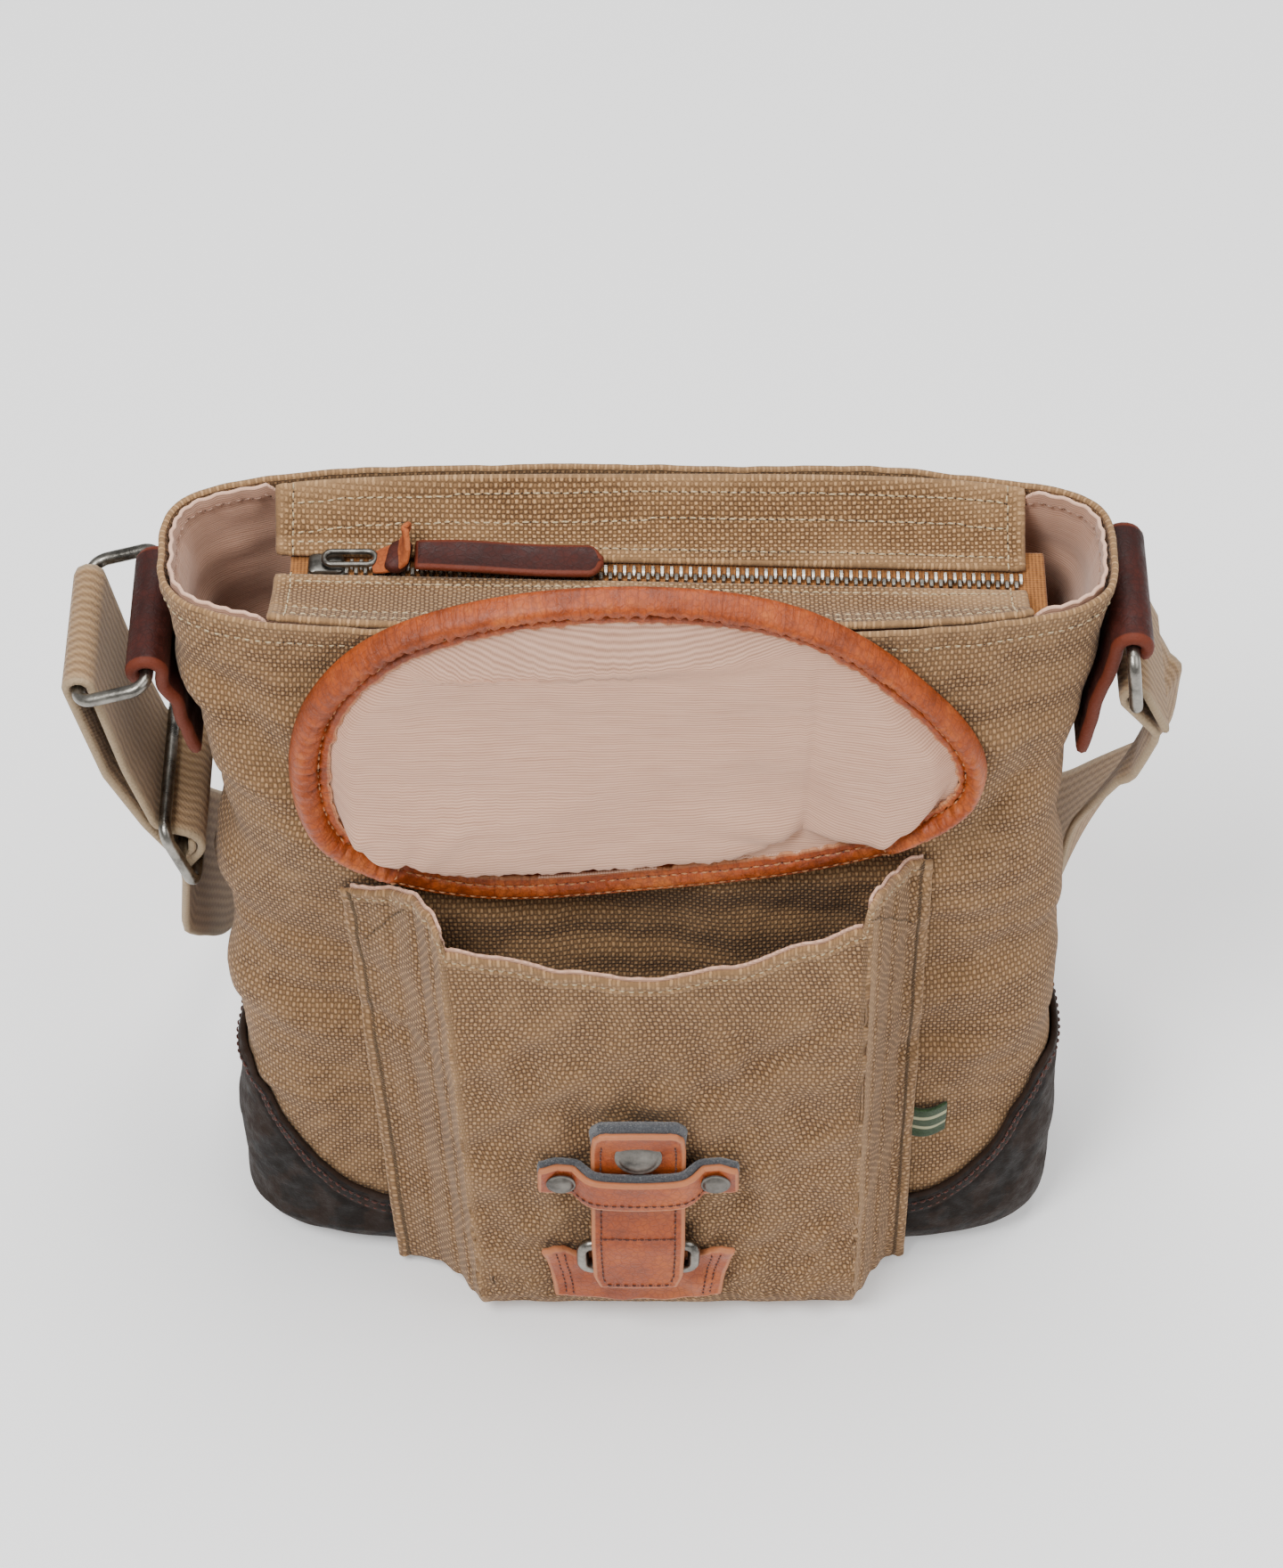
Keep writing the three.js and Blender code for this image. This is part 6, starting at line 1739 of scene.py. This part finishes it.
def keeper_layer(name, inner, thickness, look, wear_edge, fatten=0.0, stitched=False):
    across = np.linspace(-1, 1, 161)
    lift = np.interp(across, [a for a, _ in KEEPER_ARCH], [b for _, b in KEEPER_ARCH])
    for _ in range(24):
        lift[1:-1] = (lift[:-2] + 2 * lift[1:-1] + lift[2:]) / 4
    share = np.linspace(0, 1, 22)[:, None]
    drop = -2.5 * np.cos(across * math.pi / 2)
    ends = smooth((np.abs(across) - 0.93) / 0.07)
    z = KEEPER_BOTTOM + drop[None] + KEEPER_HEIGHT * (share + 0.08 * ends[None] * (0.5 - share))
    x = np.broadcast_to(CLASP_MIDDLE_X + across * KEEPER_WIDTH / 2, z.shape)
    curl = 1.0 * smooth((np.abs(across) - 0.82) / 0.18)[None] * (0.3 + share)
    y = np.broadcast_to(KEEPER_BASE_Y - lift * KEEPER_LIFT - curl, z.shape)
    grid = np.stack([x, y, z], axis=-1)
    out = normals_of(grid)
    thick = thickness + fatten * (0.35 + 0.65 * lift[None]) * np.ones_like(share)
    grid = grid + out * (inner + thickness - thick / 2)[..., None]
    wear = np.broadcast_to(wear_edge * smooth((np.abs(share - 0.5) - 0.455) / 0.045), z.shape)
    if stitched:
        up = normals_of(grid)
        line = grid[4] + up[4] * (thickness / 2 + 0.04)
        row_piece("clasp_keeper_stitches", [(line[14:-14], up[4][14:-14], KEEPER_SEWING)])
    return slab(name, grid, thick, look, wear=wear)


place(keeper_layer("keeper_leather", CLASP_FELT + GAP, CLASP_LEATHER, TAN_LOOK, 0.7, stitched=True),
      "tan_leather", "clasp_keeper")
place(keeper_layer("keeper_felt", 0, CLASP_FELT, FELT_LOOK, 0, fatten=0.9), "felt", "clasp_keeper_backing")


# A rivet head's flange and dome: radius and height as shares
RIVET_SHAPE = ((1.0, 0), (1.0, 0.14), (0.96, 0.22), (0.88, 0.22), (0.82, 0.3), (0.76, 0.5), (0.62, 0.74),
               (0.42, 0.91), (0.2, 0.99), (0.05, 1.0))
RIVET_HEIGHT = 1.8


def dome(name, diameter, height, centre, outwards):
    """A domed rivet head with a thin flange around it."""
    outwards = unit(np.asarray(outwards, float))
    side = unit(np.cross(outwards, vec(0.3, 0.1, 0.95)))
    other = np.cross(outwards, side)
    r = diameter / 2
    angle = np.linspace(0, 2 * math.pi, 40, endpoint=False)[:, None]
    around = side * np.cos(angle) + other * np.sin(angle)
    sections = np.array([centre + outwards * h * height + r * s * around for s, h in RIVET_SHAPE])
    return swept(name, sections, RIVET_LOOK, sharp=34)


for tag, side in (("left", -1), ("right", 1)):
    x = CLASP_MIDDLE_X + side * PATCH_RIVET_SPACING / 2
    place(dome(f"patch_rivet_{tag}_head", SMALL_RIVET_DIAMETER, RIVET_HEIGHT,
               (x, PATCH_Y - CLASP_LEATHER - GAP, PATCH_BOTTOM + PATCH_HEIGHT * 0.35), (0, -1, 0)),
          "metal", f"clasp_patch_rivet_{tag}")
    x = CLASP_MIDDLE_X + side * KEEPER_RIVET_SPACING / 2
    place(dome(f"keeper_rivet_{tag}_head", RIVET_DIAMETER, 2,
               (x, KEEPER_FACE_Y, KEEPER_BOTTOM + KEEPER_HEIGHT / 2 - 1), (0, -1, 0)),
          "metal", f"keeper_rivet_{tag}")

SNAP_Z = TAB_TOP - 13
SNAP_LEAN = math.atan2(3.0, 10.0)
place(dome("snap_head", SNAP_DIAMETER, RIVET_HEIGHT,
           (CLASP_MIDDLE_X, float(plain_face_y(SNAP_Z)) - 1.6 - CLASP_FELT - CLASP_LEATHER - GAP * 4, SNAP_Z),
           (0, -math.cos(SNAP_LEAN / 2), math.sin(SNAP_LEAN / 2))), "metal", "clasp_snap")


def woven_label():
    seam = POCKET_MIDDLE_X + POCKET_WIDTH / 2
    share, across = np.meshgrid(np.linspace(0, 1, 16), np.linspace(0, 1, 16), indexing="ij")
    x = seam + LABEL_WIDTH * across
    z = LABEL_LEVEL + LABEL_HEIGHT * share
    y = folded_front_y(x, z) - GAP - LABEL / 2 - 1.5 * np.sin(across * math.pi)
    grid = np.stack([x, y, z], axis=-1)
    return slab("label_cloth", grid, LABEL, LABEL_LOOK, u=LABEL_WIDTH * across, v=LABEL_HEIGHT * share)


place(woven_label(), "label", "woven_label")


# The side tabs and rings

ROLL_RADIUS = RING_WIRE / 2 + LAYER_GAP + TAB_LEATHER / 2


def roll_centre(side):
    z = TAB_ROLL_LEVEL[side] * HEIGHT
    return vec(side * (abs(side_x(z, side)) + 3 * LAYER_GAP + TAB_LEATHER + RING_WIRE / 2), 0, z)


def tab_path(side):
    centre = roll_centre(side)
    lie = 2 * LAYER_GAP + TAB_LEATHER / 2
    rise = [(side_x(z, side) + side * lie, z) for z in np.linspace(SIDE_TAB_BOTTOM, centre[2], 12)]
    angles = math.pi * (1 - np.linspace(0, 1, 24)[1:] * 1.16)
    roll = [(centre[0] + side * ROLL_RADIUS * math.cos(a), centre[2] + ROLL_RADIUS * math.sin(a))
            for a in angles]
    return np.array(rise + roll)


def side_tab(tag, side):
    path = tab_path(side)
    path3 = resampled(np.stack([path[:, 0], np.zeros(len(path)), path[:, 1]], axis=1), 1.4)
    y = np.linspace(-0.5, 0.5, 40) * SIDE_TAB_WIDTH
    grid = np.repeat(path3[:, None], len(y), axis=1)
    grid[..., 1] = y
    wear = np.broadcast_to(0.8 * smooth((np.abs(y) - SIDE_TAB_WIDTH * 0.485) / 0.6), grid.shape[:2])
    return slab(f"side_tab_{tag}_leather", grid, TAB_LEATHER, BURGUNDY_LOOK, face=float(-side), wear=wear)


def ring_direction(side):
    return unit(vec(*RING_LEAN[side]))


def side_ring(tag, side):
    outwards = ring_direction(side)
    middle = roll_centre(side) + outwards * RING_DEPTH / 2
    loop = rounded_loop(middle, outwards, Y_AXIS, RING_DEPTH, RING_WIDTH, RING_CORNER, 8, 10)
    sections = wire_sections(loop, RING_WIRE / 2, np.cross(outwards, Y_AXIS), True, 16)
    return swept(f"side_ring_{tag}_wire", sections, NICKEL_LOOK, loop=True)


for tag, side in (("left", -1), ("right", 1)):
    place(side_tab(tag, side), "burgundy_leather", f"side_tab_{tag}")
    place(side_ring(tag, side), "metal", f"side_ring_{tag}")
    z = SIDE_TAB_BOTTOM + (roll_centre(side)[2] - SIDE_TAB_BOTTOM) * 0.4
    place(dome(f"tab_rivet_{tag}_head", TAB_RIVET_DIAMETER, RIVET_HEIGHT,
               (side_x(z, side) + side * (TAB_LEATHER + 3.4 * LAYER_GAP), 0, z), (side, 0, 0)),
          "metal", f"tab_rivet_{tag}")


# The webbing and its slider

def ring_bar(side):
    return roll_centre(side) + ring_direction(side) * RING_DEPTH


WRAP_RADIUS = RING_WIRE / 2 + LAYER_GAP + WEBBING / 2
LAYER_STEP = WEBBING + GAP
SLIDER_DOWN = unit(vec(0.3, 0, -0.954))
SLIDER_IN = vec(-SLIDER_DOWN[2], 0, SLIDER_DOWN[0])
SLIDER_MIDDLE = ring_bar(-1) + SLIDER_DOWN * HEIGHT * 0.26 + SLIDER_IN * 1.5


def strap_adjuster():
    outline = rounded_loop(SLIDER_MIDDLE, SLIDER_DOWN, Y_AXIS, 2 * SLIDER_BAR_SPACING, RING_WIDTH,
                           RING_CORNER, 8, 10)
    frame_wire = wire_sections(outline, RING_WIRE / 2, SLIDER_IN, True, 14)
    frame_bar = swept("adjuster_frame", frame_wire, NICKEL_LOOK, loop=True)
    ends = np.linspace(-1, 1, 12)[:, None] * Y_AXIS * RING_WIDTH / 2 + SLIDER_MIDDLE
    bar = swept("adjuster_bar", wire_sections(ends, RING_WIRE / 2, SLIDER_IN, False, 14), NICKEL_LOOK)
    return joined("adjuster_wire", [frame_bar, bar])


place(strap_adjuster(), "metal", "strap_adjuster")


def near_slider(s, m):
    return SLIDER_MIDDLE + SLIDER_DOWN * s + SLIDER_IN * m


def arc(centre, radius, start, end, axis_a, axis_b, count):
    angle = np.radians(np.linspace(start, end, count))[:, None]
    return centre + radius * (axis_a * np.cos(angle) + axis_b * np.sin(angle))


def left_webbing():
    bar = ring_bar(-1)
    wide = WRAP_RADIUS + LAYER_STEP
    turn = math.degrees(math.asin((wide + WRAP_RADIUS) / SLIDER_BAR_SPACING))
    return np.vstack([
        arc(SLIDER_MIDDLE, WRAP_RADIUS, 90, -90, SLIDER_DOWN, SLIDER_IN, 14),
        [near_slider(-SLIDER_BAR_SPACING, -wide), near_slider(-HEIGHT * 0.13, -9)],
        arc(bar, WRAP_RADIUS, -100, -262, SLIDER_DOWN, SLIDER_IN, 18),
        [near_slider(-HEIGHT * 0.13, -2.6)],
        arc(near_slider(-SLIDER_BAR_SPACING, 0), WRAP_RADIUS, -90, turn - 90, SLIDER_DOWN, SLIDER_IN, 6),
        arc(SLIDER_MIDDLE, wide, 90 + turn, 90 - turn, SLIDER_DOWN, SLIDER_IN, 12),
        arc(near_slider(SLIDER_BAR_SPACING, 0), WRAP_RADIUS, 270 - turn, 270, SLIDER_DOWN, SLIDER_IN, 6),
    ])


def right_webbing():
    bar = ring_bar(1)
    away, outside = vec(0.5, 0, -0.866), vec(0.866, 0, 0.5)
    return np.vstack([
        [bar + away * 17 - outside * 1.2],
        arc(bar, WRAP_RADIUS, -100, -260, away, outside, 18),
        [bar + away * 17 + outside * 1.9],
    ])


def flat(points):
    """A route with the webbing's width across the bag."""
    return np.hstack([points, np.repeat(Y_AXIS[None], len(points), axis=0)])


def strap_webbing():
    at = [vec(x * MOUTH_WIDTH / 2, y * BASE_DEPTH, z * HEIGHT) for x, y, z, _ in STRAP_ROUTE]
    tips = [unit(np.array(tip, float)) for *_, tip in STRAP_ROUTE]
    free = np.hstack([catmull(at, 161), unit(catmull(tips, 161))])
    path = resampled(np.vstack([flat(left_webbing()), free, flat(right_webbing())]), 2.4)
    run = unit(np.gradient(path[:, :3], axis=0))
    across = unit(path[:, 3:6] - (path[:, 3:6] * run).sum(1, keepdims=True) * run)
    side = np.linspace(-1, 1, 25)
    grid = path[:, None, :3] + across[:, None] * (side[None, :, None] * (WEBBING_WIDTH - WEBBING) / 2)
    v = np.broadcast_to(lengths_along(path[:, None, :3], 0), grid.shape[:2])
    u = np.broadcast_to(side * WEBBING_WIDTH / 2, grid.shape[:2])
    wear = np.broadcast_to(0.5 * smooth((np.abs(side) - 0.93) / 0.07), grid.shape[:2])
    return slab("strap_cloth", grid, WEBBING, WEBBING_LOOK, u=u, v=v, wear=wear)


place(strap_webbing(), "webbing", "strap_webbing")


# Camera, floor and light

camera = bpy.data.objects.new("camera", bpy.data.cameras.new("camera"))
bpy.context.scene.collection.objects.link(camera)
bpy.context.scene.camera = camera
camera.data.lens = 102.93
camera.data.sensor_width = 36
camera.location = (0.00183, -0.8999, 1.2628)
camera.rotation_euler = (math.radians(40), 0, 0)

floor_mesh = bpy.data.meshes.new("floor")
floor_mesh.from_pydata([(-4, -4, 0), (4, -4, 0), (4, 4, 0), (-4, 4, 0)], [], [(0, 1, 2, 3)])
floor = bpy.data.objects.new("floor", floor_mesh)
bpy.context.scene.collection.objects.link(floor)
floor_look = Maker("floor", roughness=0.9, specular=0.1)
floor_look.shader.inputs["Emission Color"].default_value = (1, 1, 1, 1)
floor_look.shader.inputs["Emission Strength"].default_value = 0.3
floor_mesh.materials.append(floor_look.finish((0.92, 0.92, 0.92, 1)))


def area_light(name, location, target, size, power):
    light = bpy.data.lights.new(name, "AREA")
    light.shape = "DISK"
    light.size = size
    light.energy = power
    lamp = bpy.data.objects.new(name, light)
    bpy.context.scene.collection.objects.link(lamp)
    lamp.location = location
    lamp.rotation_euler = (Vector(target) - Vector(location)).to_track_quat("-Z", "Y").to_euler()


area_light("key", (-0.75, -0.9, 2.1), (0, 0, 0.12), 0.9, 46)
area_light("fill", (1.5, -0.6, 1.5), (0, 0, 0.12), 1.4, 16)
area_light("top", (0.1, 0.5, 2.3), (0, 0, 0.15), 1.4, 38)

world = bpy.data.worlds.new("world")
bpy.context.scene.world = world
world.use_nodes = True
world.node_tree.nodes["Background"].inputs[0].default_value = (1.0, 1.0, 1.0, 1)
world.node_tree.nodes["Background"].inputs[1].default_value = 0.42
